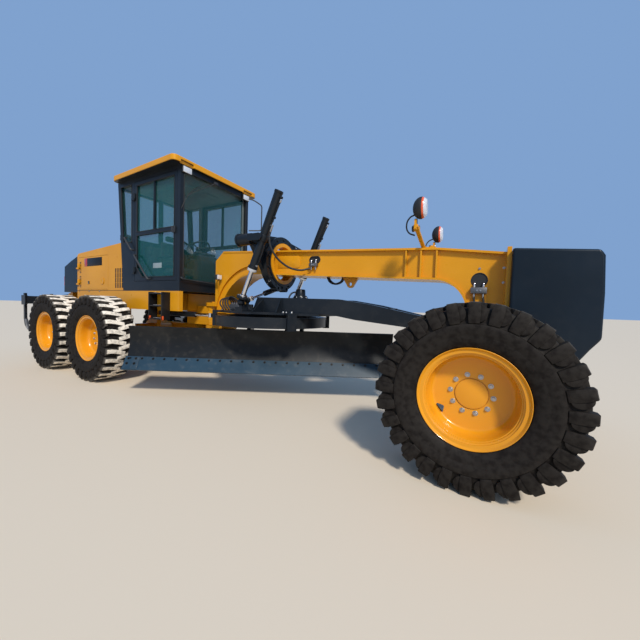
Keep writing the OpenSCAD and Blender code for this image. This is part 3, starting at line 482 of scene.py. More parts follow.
openWalls = ("hood", "rear_housing", "right_door", "left_door", "cab_shell", "front_frame", "rear_frame")
looks = {
    "yellow": {"rear_frame": 6, "rear_axle": 8, "hood": 7, "right_hood_door": 5, "left_hood_door": 5,
               "front_frame": 4, "front_axle": 6},
    "navy": {"nose_weight": 22, "rear_housing": 12},
    "charcoal": {"cab_shell": 5, "right_door": 4, "left_door": 4, "saddle": 4, "drawbar": 4, "circle": 5,
                 "blade_carrier": 4, "right_collar": 3, "left_collar": 3, "right_lift_barrel": 3,
                 "left_lift_barrel": 3, "shift_barrel": 2, "right_steer_barrel": 2, "left_steer_barrel": 2,
                 "ripper": 6, "ripper_lower_link": 3, "ripper_upper_link": 3, "ripper_barrel": 2},
    "blackPaint": {"right_knuckle": 4, "left_knuckle": 4, "tie_rod": 3, "engine": 10},
    "blade": {"moldboard": 3},
    "edge": {"cutting_edge": 3},
    "steel": {"drawbar_ball": 2},
    "chrome": {"right_lift_rod": 2, "left_lift_rod": 2, "shift_rod": 2, "right_steer_rod": 2, "left_steer_rod": 2,
               "ripper_rod": 2},
    "glass": {"right_door_glass": 1, "left_door_glass": 1},
    "screen": {"cab_glass": 1},
}
for finish, nodes in looks.items():
    for node, millimetres in nodes.items():
        dressed(node, finish, millimetres / 1000)
print("solids dressed")

# Roof: round corners, a notch over each lamp, and painted shade: its downward faces get the dark charcoal finish for
# the shade under the overhang

roofShape = {"corner": 0.075, "thick": 0.08, "notchLow": (-3.872, 0.52, 3.2), "notchHigh": (-3.8, 0.735, 3.312)}


def shapeRoof(piece):
    for way in (-1, 1):
        notch = sideBlock(way, roofShape["notchLow"], roofShape["notchHigh"], "yellow", 0.0)
        modify(piece, "BOOLEAN", object=notch, operation="DIFFERENCE", solver="EXACT")
        bpy.data.objects.remove(notch)
    weights = piece.data.attributes.new("bevel_weight_edge", "FLOAT", "EDGE")
    for line in piece.data.edges:
        start, end = [piece.data.vertices[k].co for k in line.vertices]
        weights.data[line.index].value = 1.0 if abs(start.z - end.z) > roofShape["thick"] else 0.0
    modify(piece, "BEVEL", width=roofShape["corner"], segments=6, limit_method="WEIGHT")
    piece.data.attributes.remove(piece.data.attributes["bevel_weight_edge"])


roof = dressed("cab_roof", "yellow", 0.012, 3, shapeRoof)
# Painted shade: faces pointing down take the charcoal finish. It stands for the shade under the roof's overhang, not
# for a second paint colour.
roof.data.materials.append(finishes["charcoal"])
for face in roof.data.polygons:
    if face.normal.z < -0.9:
        face.material_index = 1

# Tyres: a ribbed casing, two rows of lugs half a pitch apart, and a half-moon pad between lugs on each shoulder

tyreShape = {
    "lugs": 28, "topHalf": 0.0315, "footHalf": 0.041, "slant": 0.3, "slantEnds": 0.12,
    "padPlace": (0.034, -0.172, 0.592), "padRadius": 0.058, "padThick": 0.0385, "padFlat": 0.03,
    "casing": [(0, 0.632), (0.1, 0.632), (0.176, 0.624), (0.19, 0.602), (0.198, 0.565), (0.203, 0.532),
               (0.208, 0.522), (0.2195, 0.517), (0.2222, 0.508), (0.2225, 0.49), (0.2195, 0.447), (0.2165, 0.442),
               (0.2165, 0.436), (0.2125, 0.412), (0.2025, 0.386), (0.19, 0.366), (0.179, 0.3575), (0.162, 0.35),
               (0.16, 0.319)],
    # outwards and up at a lug's top, then at its foot
    "lugLine": [(-0.05, 0.6697, -0.056, 0.605), (0.015, 0.6697, 0.015, 0.605), (0.08, 0.6697, 0.08, 0.605),
                (0.14, 0.6697, 0.14, 0.605), (0.197, 0.6697, 0.172, 0.6), (0.2105, 0.6615, 0.176, 0.59),
                (0.2175, 0.625, 0.184, 0.572), (0.2212, 0.572, 0.19, 0.545), (0.2221, 0.524, 0.195, 0.514)],
}


def lugBar():
    line = tyreShape["lugLine"]
    pick()
    bpy.ops.mesh.primitive_grid_add(x_subdivisions=len(line) - 1, y_subdivisions=1)
    piece = bpy.context.active_object
    for k, (topOut, topUp, footOut, footUp) in enumerate(line):
        piece.data.vertices[k].co = (-1, -footOut, footUp)
        piece.data.vertices[k + len(line)].co = (-1, -topOut, topUp)
    edit(piece, lambda: pull((2, 0, 0)), mend)
    for vertex in piece.data.vertices:
        x, out, up = vertex.co.x, -vertex.co.y, vertex.co.z
        share = min(1, max(0, (up - 0.605) / 0.065))
        half = tyreShape["footHalf"] + share * (tyreShape["topHalf"] - tyreShape["footHalf"]) - max(0, 0.6 - up) * 0.1
        vertex.co.x = x * half + max(0, tyreShape["slantEnds"] - out) * tyreShape["slant"]
        vertex.co.z = sqrt(up * up - vertex.co.x ** 2)
    return rounded(piece, 0.0028)


def shoulderPad():
    pick()
    place = tyreShape["padPlace"]
    bpy.ops.mesh.primitive_circle_add(vertices=24, radius=tyreShape["padRadius"], fill_type="NGON",
                                      rotation=(pi / 2, 0, 0), location=place)
    piece = newest()
    for vertex in piece.data.vertices:
        vertex.co.x = max(place[0] + (vertex.co.x - place[0]) * 0.8, tyreShape["padFlat"])
    edit(piece, mend, lambda: pull((0, -tyreShape["padThick"], 0)), mend)
    for vertex in piece.data.vertices:
        vertex.co.y -= (0.6 - vertex.co.z) * 0.13 if vertex.co.y < -0.2 else 0
    return rounded(piece)


def spread(piece, count):
    made = [copyOf(piece, Matrix.Rotation(2 * pi * k / count, 4, "Y")) for k in range(count)]
    bpy.data.objects.remove(piece)
    return made


hubPlace = at(0, 0, hubZ)
flipY = Matrix.Diagonal((1, -1, 1, 1))
outer = tyreShape["casing"]
casing = turned(outer + [(-out, up) for out, up in reversed(outer[1:])], (0, 0, hubZ), (0, -1, hubZ), "tyre", 112)
casing.data.transform(Matrix.Translation(-hubPlace))
row = spread(joined("row", [lugBar(), shoulderPad()]), tyreShape["lugs"])
farRow = [copyOf(piece, Matrix.Rotation(pi / tyreShape["lugs"], 4, "Y") @ flipY) for piece in row]
tyre = coat(joined("tyre", [casing] + row + farRow), "tyre")
marks = tyre.data.attributes.new("tread", "FLOAT", "POINT")
for vertex in tyre.data.vertices:
    up = hypot(vertex.co.x, vertex.co.z)
    marks.data[vertex.index].value = 1.0 if up > 0.668 else 0.1 if up > 0.64 else 0.0

# Wheels: a dished disc with ten nuts, a cap, a hand hole, two valve stems and a stepped flange

wheelShape = {
    "profile": [(0.0255, 0), (0.0255, 0.104), (0.0235, 0.109), (0.0185, 0.1105), (0.012, 0.111), (0.012, 0.115),
                (0.0175, 0.1155), (0.0175, 0.252), (0.02, 0.264), (0.029, 0.274), (0.045, 0.283), (0.07, 0.29),
                (0.11, 0.294), (0.144, 0.297), (0.149, 0.299), (0.15, 0.305), (0.16, 0.308), (0.168, 0.3245),
                (0.166, 0.327), (0.169, 0.329), (0.179, 0.344), (0.186, 0.347), (0.19, 0.352),
                (0.1885, 0.3552), (0.182, 0.3555), (0.177, 0.352), (0.175, 0.34), (0.173, 0.3182),
                (-0.173, 0.3182), (-0.175, 0.34), (-0.177, 0.352), (-0.182, 0.3555), (-0.1885, 0.3552),
                (-0.19, 0.35), (-0.182, 0.34), (-0.16, 0.306), (-0.14, 0.301), (-0.03, 0.3),
                (-0.011, 0.285), (-0.007, 0.27), (-0.007, 0.112), (-0.194, 0.112), (-0.194, 0.0605),
                (-0.019, 0.0605), (-0.019, 0)],
    "nuts": 10, "nutRadius": 0.142, "valveRadius": 0.326, "valveTurns": (0.05, 0.13),
    "handAngle": {"front": -146, "mid": -58, "back": -58},
}
wheel = turned(wheelShape["profile"], (0, 0, hubZ), (0, -1, hubZ), "rimYellow", 96)
hole = plate([(0.252 + 0.02 * cos(radians(a)), 0.02 * sin(radians(a)) + 0.018 * (a > 0)
               - 0.018 * (a < 0)) for a in range(-90, 91, 30)] + [(0.222, 0.006), (0.222, -0.006)],
             -0.08, 0.03, "rimYellow", bevel=0.0)
hole.data.transform(Matrix.Translation((-hubPlace.x, -hubPlace.y, 0)))
wheel.data.transform(Matrix.Translation(-hubPlace))
modify(wheel, "BOOLEAN", object=hole, operation="DIFFERENCE", solver="EXACT")
bpy.data.objects.remove(hole)
rounded(wheel, 0)
nuts = bolts(ring((0, -0.0175, hubZ), "y", wheelShape["nutRadius"], wheelShape["nuts"], 1.2), (0, -1, 0), 0.0125)
valves = []
for turn in wheelShape["valveTurns"]:
    (x, y, z), = ring((0, 0, hubZ), "y", wheelShape["valveRadius"], 1, turn)
    valves += [rod((x, -0.15, z), (x, -0.1695, z), 0.004, "rubber", 0.0)]
small = joined("small", nuts + valves)
small.data.transform(Matrix.Translation(-hubPlace))
small.data.transform(Matrix.Rotation(-0.95 - pi / 2, 4, "Y"))
wheel = joined("wheel", [wheel, small])
for rowName, x in wheelX.items():
    turn = Matrix.Rotation(-radians(wheelShape["handAngle"][rowName]), 4, "Y")
    for side, way in sides.items():
        place = Matrix.Translation(at(x, way * trackHalf, hubZ))
        over = place if way < 0 else place @ flipY
        start = rowName + "_" + side
        shod = coat(copyOf(tyre, over), "tyre" if rowName == "front" else "dustyTyre")
        ready(start + "_tyreDetail", shod, start + "_wheel", "tyre_rubber", start + "_tyre")
        ready(start + "_rimDetail", copyOf(wheel, over @ turn), start + "_wheel", "yellow_paint", start + "_rim")
bpy.data.objects.remove(tyre)
bpy.data.objects.remove(wheel)
print("wheels made")

# Head lamps, work lamp and valve blocks of the front frame

headLamp = {"place": (-0.525, -0.56, 2.24), "half": (0.078, 0.075, 0.104), "cut": 0.012}


def onLamp(*step):
    return tuple(a + b for a, b in zip(headLamp["place"], step))


# A slice of the lamp's egg between two levels ahead of its middle
def egg(scale, low, high, finish):
    pick()
    bpy.ops.mesh.primitive_uv_sphere_add(segments=40, ring_count=24, radius=1, location=at(*headLamp["place"]),
                                         scale=[half * scale for half in headLamp["half"]])
    piece = newest()
    for level, keepAbove in ((low, True), (high, False)):
        edit(piece, lambda: bpy.ops.mesh.bisect(plane_co=at(*onLamp(level, 0, 0)), plane_no=(1, 0, 0), use_fill=True,
                                                clear_inner=keepAbove, clear_outer=not keepAbove))
    edit(piece, mend)
    return coat(rounded(piece, 0.002), finish)


cut = headLamp["cut"]
shell = egg(1.0, -0.2, cut, "rubber")
lens = egg(0.97, cut + 0.016, cut + 0.042, "lens")
bowl = egg(0.94, cut + 0.017, cut + 0.02, "mirror")
strip = egg(0.99, cut - 0.001, cut + 0.017, "orange")
knuckle = [rod(onLamp(-0.078, 0.07, -0.172), onLamp(-0.02, 0.07, -0.172), 0.027, "yellow", 0.004),
           rod(onLamp(-0.092, 0.07, -0.172), onLamp(-0.074, 0.07, -0.172), 0.03, "plastic", 0.004),
           rod(onLamp(-0.045, 0.012, -0.15), onLamp(-0.045, 0.004, -0.095), 0.014, "plastic")]
loom = hose([onLamp(-0.06, 0.01, -0.055), onLamp(-0.105, 0.015, -0.075), onLamp(-0.14, 0.035, -0.135),
             onLamp(-0.125, 0.065, -0.205), onLamp(-0.07, 0.095, -0.232)], 0.0075)
lampPieces = [shell, bowl, lens, strip, loom] + knuckle
lampPieces += [mirrored(piece) for piece in lampPieces]


def valveBlock(x, z, wide, tall):
    made = [block((x - wide / 2, -0.198, z - tall / 2), (x + wide / 2, -0.15, z + tall / 2), "casting", 0.004)]
    for share in (-0.28, 0.28):
        u = x + share * wide
        made += [rod((u, -0.174, z + tall / 2 - 0.004), (u, -0.174, z + tall / 2 + 0.02), 0.012, "steel"),
                 rod((u, -0.174, z - tall / 2 - 0.045), (u, -0.174, z - tall / 2 + 0.004), 0.01, "steel"),
                 hose([(u, -0.174, z + tall / 2 + 0.012), (u, -0.17, z + tall / 2 + 0.038),
                       (u, -0.145, z + tall / 2 + 0.052), (u, -0.12, z + tall / 2 + 0.045)], 0.008, "chrome")]
    made += bolts([(x - wide * 0.1, -0.198, z), (x + wide * 0.1, -0.198, z)], (0, -1, 0), 0.006)
    return made


blocks = valveBlock(-1.93, 1.8125, 0.118, 0.043) + valveBlock(-0.015, 1.481, 0.145, 0.06)
blocks += [hose([(u, -0.174, 1.42), (u + 0.01, -0.176, 1.34), (u + 0.03, -0.182, 1.22), (u + 0.03, -0.17, 1.08)],
                0.0105) for u in (-0.056, 0.026)]
blocks += [hose([(-1.8 - 0.02 * k, 0.02 * k, 1.72), (-1.76, 0.02 * k, 1.62 - 0.02 * k), (-1.66, 0.02 * k, 1.58),
                 (-1.58, 0.02 * k, 1.64), (-1.6, 0.02 * k, 1.74)], 0.01) for k in range(2)]
blocks += [mirrored(piece) for piece in blocks]
workLamp = [block((-3.638, -0.291, 1.641), (-3.58, -0.203, 1.719), "plastic", 0.008),
            block((-3.581, -0.286, 1.646), (-3.561, -0.208, 1.714), "lens", 0.005),
            block((-3.584, -0.284, 1.648), (-3.572, -0.21, 1.712), "mirror"),
            bent([(-3.6, -0.247, 1.645), (-3.6, -0.247, 1.6), (-3.64, -0.2, 1.5), (-3.66, -0.176, 1.43)],
                 0.009, "yellow", 0.02)]
ready("frontFittings", lampPieces + blocks + workLamp, "front", slotOf["front_fittings"], "front_fittings")

# Trim of the front frame and its saddle

panel = plate([(-2.515, 1.795), (-2.18, 1.783), (-2.158, 1.8), (-2.15, 1.825), (-2.15, 1.905), (-2.16, 1.932),
               (-2.182, 1.948), (-2.515, 1.962)], -0.158, -0.149, "yellow", bevel=0.004)
frameTrim = [panel, mirrored(panel)]
frameTrim += bolts([(-0.018, -0.151, 1.7), (0.19, -0.151, 1.7), (0.19, -0.151, 1.56)], (0, -1, 0), 0.008)
frameTrim += bolts([(-0.59 + 0.13 * (k % 2), -0.085 + 0.17 * (k // 2), 1.96) for k in range(4)], (0, 0, 1), 0.01)
slot = []
for way in (-1, 1):
    near, far = span(way, 0.12, 0.147)
    oval = [(-1.96 + 0.044 * cos(a) + (0.07 if cos(a) > 0 else 0), 1.88 + 0.044 * sin(a))
            for a in [pi * (k + 0.5) / 8 for k in range(16)]]
    slot += [plate(oval, near, far, "rubber", bevel=0.0),
             rod((-0.015, near, 1.585), (-0.015, far, 1.585), 0.0705, "rubber", 0.0),
             turned([(0, 0.069), (0, 0.076), (0.004, 0.075), (0.004, 0.069)], (-0.015, way * 0.1495, 1.585),
                    (-0.015, way, 1.585), "rubber", 40),
             seal(oval, way * 0.1515, 0.006, 6)]
ready("frameTrim", frameTrim + slot, "front", slotOf["front_frame"])

saddle = {"x": -2.6, "z": 1.869, "bolts": 0.338, "horn": (0.6, 2.11)}


def onSaddle(ahead, y=0, z=saddle["z"]):
    return (saddle["x"] + ahead, y, z)


saddleTrim = bolts(ring(onSaddle(0.055), "x", saddle["bolts"], 14, 0.22), (1, 0, 0), 0.013, "charcoal")
saddleTrim += [turned([(0.05, 0.293), (0.066, 0.293), (0.068, 0.297), (0.068, 0.314), (0.066, 0.318), (0.05, 0.318)],
                      onSaddle(0), onSaddle(1), "charcoal", 72)]
for way in (-1, 1):
    horn = (way * saddle["horn"][0], saddle["horn"][1])
    saddleTrim += [turned([(-0.232, 0), (-0.232, 0.055), (-0.226, 0.083), (-0.205, 0.085), (-0.2, 0.076), (-0.19, 0)],
                          onSaddle(0, *horn), onSaddle(1, *horn), "charcoal", 40)]
    saddleTrim += bolts(ring(onSaddle(-0.232, *horn), "x", 0.038, 4, 0.4), (-1, 0, 0), 0.009)
    saddleTrim += bolts([onSaddle(0.001, way * 0.52, 2.13), onSaddle(0.001, way * 0.4, 2.17)], (1, 0, 0), 0.011)
ready("saddleTrim", saddleTrim, "front", slotOf["saddle"])

# Lift cylinders, whose places are along and ahead of the line from the ball

lift = {"ball": (-2.77, -0.6, 1.3), "lean": 23.35}
leanSin, leanCos = sin(radians(lift["lean"])), cos(radians(lift["lean"]))


def onLift(along, ahead=0.0, out=0.0):
    x, y, z = lift["ball"]
    return (x + along * leanSin + ahead * leanCos, y - out, z + along * leanCos - ahead * leanSin)


def liftRing(start, end, inner, outer, finish, bevel=0.002):
    profile = [(start, inner), (start, outer), (end, outer), (end, inner)]
    return turned(profile, onLift(0), onLift(1), finish, 48, bevel)


barrel = [liftRing(0.438, 0.474, 0.031, 0.0605, "lens", 0.004), liftRing(0.474, 0.505, 0.05, 0.0625, "charcoal"),
          liftRing(0.845, 0.925, 0.051, 0.064, "charcoal", 0.004),
          liftRing(1.44, 1.476, 0.0, 0.0555, "charcoal", 0.008),
          rod(onLift(1.405, 0.04), onLift(1.405, 0.082), 0.016, "charcoal"),
          rod(onLift(1.385, 0.072), onLift(1.345, 0.072), 0.012, "steel"),
          hose([onLift(1.352, 0.072), onLift(1.3, 0.068), onLift(1.22, 0.064), onLift(1.1, 0.064)], 0.008,
               "charcoal"),
          rod(onLift(1.16, 0.045), onLift(1.16, 0.08), 0.015, "charcoal"),
          rod(onLift(1.06, 0.045), onLift(1.06, 0.088), 0.013, "steel"),
          rod(onLift(0.985, 0.078), onLift(1.075, 0.078), 0.013, "steel"),
          hose([onLift(0.53, 0.058, 0.01), onLift(0.6, 0.072, 0.01), onLift(0.72, 0.074, 0.01),
                onLift(0.8, 0.076, 0.02)], 0.008, "charcoal"),
          rod(onLift(0.525, 0.04, 0.01), onLift(0.525, 0.072, 0.01), 0.014, "steel")]
rodEnd = [turned([(0.052, 0.0), (0.052, 0.07), (0.06, 0.078), (0.078, 0.078), (0.084, 0.07), (0.092, 0.046),
                  (0.112, 0.036), (0.112, 0.0)], onLift(0), onLift(1), "charcoal", 40)]
rodEnd += bolts([onLift(0.084, 0.062 * cos(a), 0.062 * sin(a)) for a in (0.8, 2.36, 3.93, 5.5)],
                (leanSin, 0, leanCos), 0.009)
liftHose = [hose([onLift(0.99, 0.078), (-2.318, -0.605, 2.1), (-2.3, -0.57, 1.96), (-2.215, -0.44, 1.8),
                  (-2.08, -0.3, 1.735), (-1.963, -0.19, 1.765)], 0.0125)]
for side, pieces, slotNode in (("barrel", barrel, "_lift_barrel"), ("rod", rodEnd, "_lift_rod"),
                               ("hose", liftHose, "_lift_barrel")):
    others = [mirrored(piece) for piece in pieces]
    for name, group in (("right", pieces), ("left", others)):
        body = "front" if side == "hose" else name + slotNode
        ready(name + "_lift_" + side + "Trim", group, body, slotOf[name + slotNode])
print("front half trimmed")

# Drawbar and circle: bolts, gussets' studs, the hydraulic motor and its hoses

drawbarTrim = bolts([(x, way * y, 1.18) for way in (-1, 1) for x, y in ((-2.141, 0.52), (-2.04, 0.48))],
                    (0, 0, 1), 0.014)
for a in (35, 145, 215, 325):
    c, s = cos(radians(a)), sin(radians(a))
    drawbarTrim += bolts([(-2.72 + r * c - w * s, r * s + w * c, 1.18) for r in (0.6, 0.72) for w in (-0.035, 0.035)],
                         (0, 0, 1), 0.011)
drawbarTrim += [turned([(0, 0), (0, 0.1), (0.02, 0.104), (0.05, 0.09), (0.058, 0.07), (0.13, 0.066),
                        (0.14, 0.058), (0.14, 0)], (-2.23, 0, 1.365), (-2.23, 0, 2), "charcoal", 40)]
drawbarTrim += [hose([(-2.26, way * 0.05, 1.47), (-2.31, way * 0.11, 1.44), (-2.34, way * 0.17, 1.29),
                      (-2.42, way * 0.2, 1.205), (-2.7, way * 0.18, 1.193)], 0.011) for way in (-1, 1)]
drawbarTrim += bolts(ring((-2.23, 0, 1.385), "z", 0.095, 8), (0, 0, 1), 0.01)
swivelBlock = [block((-3.26, -0.33, 1.18), (-3.08, -0.16, 1.27), "casting", 0.008)]
for k in range(4):
    swivelBlock += [hose([(-3.24 + 0.045 * k, -0.3, 1.262), (-3.25 + 0.045 * k, -0.33, 1.33),
                          (-3.29 + 0.04 * k, -0.4, 1.35 + 0.008 * k), (-3.29 + 0.05 * k, -0.48, 1.29),
                          (-3.2 + 0.05 * k, -0.5, 1.19)], 0.01),
                    rod((-3.24 + 0.045 * k, -0.3, 1.262), (-3.24 + 0.045 * k, -0.302, 1.296), 0.013, "steel")]
ready("drawbarTrim", drawbarTrim + swivelBlock, "drawbar", slotOf["drawbar"])

# Blade, in its own directions: from heel to toe, down its edge, and off its face

bladeAngle, slope = radians(61), radians(34.37)
aheadWay = Vector((cos(bladeAngle), -sin(bladeAngle), 0))
toeWay = Vector((sin(bladeAngle), cos(bladeAngle), 0))
downWay = aheadWay * sin(slope) - Vector((0, 0, cos(slope)))
faceWay = aheadWay * cos(slope) + Vector((0, 0, sin(slope)))
edgeStart = Vector((-2.72, 0, 0)) + aheadWay * 0.395 + Vector((0, 0, 0.452))


def onBlade(along, down, off):
    return edgeStart + toeWay * along + downWay * down + faceWay * off


def bladePlate(low, high, finish, bevel=0.003):
    pick()
    bpy.ops.mesh.primitive_cube_add(size=1)
    piece = bpy.context.active_object
    size, centre = [b - a for a, b in zip(low, high)], [(a + b) / 2 for a, b in zip(low, high)]
    for vertex in piece.data.vertices:
        vertex.co = at(*onBlade(*[c + s * v for c, s, v in zip(centre, size, vertex.co)]))
    edit(piece, mend)
    return coat(rounded(piece, bevel), finish)


bladeShape = {"heel": -1.93, "toe": 1.73, "bolts": 24, "face": 0.0245, "endBit": 0.2}
step = (bladeShape["toe"] - bladeShape["heel"]) / bladeShape["bolts"]
bladeTrim = bolts([onBlade(bladeShape["heel"] + (k + 0.5) * step, -0.03, bladeShape["face"])
                   for k in range(bladeShape["bolts"])], faceWay, 0.011, "blackPaint")
for end, inwards in ((bladeShape["heel"], 1), (bladeShape["toe"], -1)):
    low, high = sorted((end + inwards * 0.001, end + inwards * bladeShape["endBit"]))
    bladeTrim += [bladePlate((low, -0.058, 0.024), (high, 0.133, 0.03), "edge")]
    bladeTrim += bolts([onBlade(end + inwards * u, v, 0.03) for u in (0.05, 0.15) for v in (-0.025, 0.05)], faceWay,
                       0.012, "blackPaint")
ready("bladeTrim", bladeTrim, "blade", slotOf["cutting_edge"])
print("blade trimmed")

# Cab: seals, inside lining, dash, levers, wiper, mirror arm, handles and roof lamps

lowPane = [(-4.998, 1.812), (-4.848, 1.662), (-4.037, 1.662), (-4.037, 2.338), (-4.998, 2.338)]
highPane = [(-4.998, 2.397), (-4.037, 2.397), (-4.037, 3.143), (-4.998, 3.143)]
quarterPane = [(-5.152, 2.252), (-5.152, 3.188), (-5.474, 3.188), (-5.4, 2.252)]
doorTrim = [seal(lowPane, -0.7), seal(highPane, -0.7),
            block((-4.555, -0.7025, 2.395), (-4.52, -0.664, 3.145), "charcoal"),
            block((-4.055, -0.715, 2.3), (-4.005, -0.699, 2.4), "plastic", 0.005),
            bent([(-4.03, -0.705, 2.385), (-4.03, -0.738, 2.385), (-4.03, -0.738, 2.3), (-4.03, -0.705, 2.3)],
                 0.008, "plastic", 0.012),
            bent([(-4.92, -0.655, 1.76), (-4.92, -0.61, 1.78), (-4.7, -0.61, 2.15), (-4.7, -0.655, 2.17)],
                 0.012, "plastic", 0.03),
            block((-4.6, -0.672, 1.8), (-4.38, -0.664, 1.88), "lens"),
            bent([(-5.012, -0.696, 2.024), (-5.012, -0.742, 2.024), (-4.63, -0.742, 1.625), (-4.63, -0.696, 1.625)],
                 0.014, "plastic", 0.025)]  # the diagonal rail goes on behind the hinge, on the cab
readyPair("DoorTrim", doorTrim, "door")

lining = [block((-5.5, -0.636, 3.196), (-3.965, 0.636, 3.218), "lining", 0.006),
          block((-5.3, -0.33, 3.176), (-4.3, 0.33, 3.197), "lining", 0.01),
          block((-5.33, -0.638, 1.5), (-3.965, 0.638, 1.512), "rubber")]
for way in (-1, 1):
    y = span(way, 0.64, 0.622)
    lining += [plate([(-5.375, 1.51), (-5.1, 1.51), (-5.1, 2.24), (-5.46, 2.24)], y[0], y[1], "lining"),
               plate([(-5.155, 2.24), (-5.075, 2.24), (-5.075, 3.2), (-5.155, 3.2)], y[0], y[1], "lining"),
               sideBlock(way, (-3.962, 0.6, 1.51), (-3.945, 0.64, 3.2), "lining"),
               seal(quarterPane, way * 0.699)]
lining += [block((-5.47, -0.04, 2.36), (-5.435, 0.04, 3.19), "charcoal", 0.004)]
windscreenRim = [(-0.642, 1.612), (0.642, 1.612), (0.642, 3.198), (-0.642, 3.198), (-0.642, 1.612)]
lining += [hose([(-3.902, y, z) for y, z in windscreenRim], 0.009, "rubber", smooth=False, turns=4)]
console = [plate([(-4.33, 1.512), (-4.13, 1.512), (-4.11, 1.95), (-4.17, 2.09), (-4.29, 2.06)], -0.15, 0.15,
                 "plastic", bevel=0.015),
           plate([(-4.36, 2.02), (-4.17, 2.1), (-4.185, 2.135), (-4.375, 2.055)], -0.2, 0.2, "plastic",
                 bevel=0.01)]
console += [turned([(0, 0), (0, 0.034), (0.006, 0.038), (0.01, 0.036), (0.01, 0)], (-4.3 + 0.03 * abs(k), 0.075 * k,
                   2.078 + 0.012 * abs(k)), (-4.36 + 0.03 * abs(k), 0.075 * k, 2.22), "screen", 24) for k in (-1, 0, 1)]
wheelMiddle, wheelLean = Vector((-4.375, 0, 2.21)), radians(-35)
columnWay = Vector((sin(wheelLean), 0, cos(wheelLean)))
spokeWay = Vector((cos(wheelLean), 0, -sin(wheelLean)))
rimPoints = [wheelMiddle + (spokeWay * cos(a) + Vector((0, 1, 0)) * sin(a)) * 0.19
             for a in [2 * pi * k / 36 for k in range(37)]]
console += [hose(rimPoints, 0.015, "rubber"),
            rod(wheelMiddle - columnWay * 0.255, wheelMiddle, 0.022, "plastic"),
            turned([(-0.02, 0), (-0.02, 0.045), (0.006, 0.05), (0.016, 0.04), (0.02, 0)], wheelMiddle,
                   wheelMiddle + columnWay, "plastic", 32)]
for a in (0.5, pi - 0.5, -pi / 2):
    out = spokeWay * sin(a) + Vector((0, 1, 0)) * cos(a)
    console += [hose([wheelMiddle, wheelMiddle + out * 0.095, wheelMiddle + out * 0.186], 0.01, "plastic")]
for way in (-1, 1):
    for k in range(4):
        y = way * (0.215 + 0.032 * k)
        console += [hose([(-4.245, y * 0.85, 2.08), (-4.29, y, 2.15), (-4.345, y, 2.225 + 0.01 * k)], 0.006, "steel"),
                    turned([(0, 0), (0, 0.011), (0.022, 0.016), (0.04, 0.012), (0.046, 0)],
                           (-4.341, y, 2.218 + 0.01 * k), (-4.4, y, 2.305 + 0.01 * k), "plastic", 16)]
console += [block((-5.33, 0.4, 1.512), (-4.42, 0.615, 2.12), "plastic", 0.02),
            block((-5.37, -0.38, 1.512), (-5.18, 0.38, 2.24), "plastic", 0.02),
            block((-5.08, -0.24, 1.512), (-4.66, 0.24, 1.56), "plastic", 0.01),
            turned([(0, 0.19), (0.02, 0.19), (0.06, 0.15), (0.1, 0.18), (0.14, 0.15), (0.18, 0.19), (0.2, 0.19),
                    (0.2, 0), (0, 0)], (-4.86, 0, 1.555), (-4.86, 0, 2.5), "rubber", 32)]
for way in (-1, 1):
    console += [sideBlock(way, (-4.96, 0.262, 2.03), (-4.68, 0.322, 2.075), "plastic", 0.015),
                bent([(-5.08, way * 0.292, 1.9), (-5.08, way * 0.292, 2.045), (-4.95, way * 0.292, 2.045)], 0.014,
                     "charcoal", 0.04)]
ready("cabInside", lining + console, "rear", slotOf["seat_and_console"])


def cushion(name, low, high, cap=0.016):
    piece = block(low, high, "cloth", 0.0)
    modify(piece, "BEVEL", width=0.045, segments=4)
    modify(piece, "REMESH", mode="VOXEL", voxel_size=0.009)
    start = [vertex.co.copy() for vertex in piece.data.vertices]
    pick(piece)
    puff = piece.modifiers.new("cloth", "CLOTH")
    puff.settings.use_pressure, puff.settings.uniform_pressure_force = True, 4
    puff.settings.effector_weights.gravity = 0
    puff.point_cache.frame_start, puff.point_cache.frame_end = 1, 20
    for step in range(1, 21):
        bpy.context.scene.frame_set(step)
    bpy.ops.object.modifier_apply(modifier=puff.name)
    bpy.context.scene.frame_set(1)
    for vertex, first in zip(piece.data.vertices, start):
        moved = vertex.co - first
        if moved.length > cap:
            vertex.co = first + moved.normalized() * cap
    channels = [at(0, 0, 0).y + share for share in (-0.11, 0.11)]
    for vertex in piece.data.vertices:
        for y in channels:
            near = abs(vertex.co.y - y)
            if near < 0.016:
                middle = (at(*low) + at(*high)) / 2
                vertex.co += (middle - vertex.co).normalized() * 0.007 * (1 - near / 0.016)
    modify(piece, "SUBSURF", levels=1, render_levels=1)
    pick(piece)
    bpy.ops.object.shade_smooth()
    return piece


ready("seatBase", cushion("seatBase", (-5.045, -0.225, 1.76), (-4.615, 0.225, 1.87)), "rear",
      slotOf["seat_and_console"], "seat_and_console")
ready("seatBack", cushion("seatBack", (-5.15, -0.225, 1.88), (-5.065, 0.225, 2.36)), "rear", "seat_fabric")
ready("seatHead", cushion("seatHead", (-5.145, -0.13, 2.372), (-5.07, 0.13, 2.475)), "rear", "seat_fabric")
print("cab furnished")

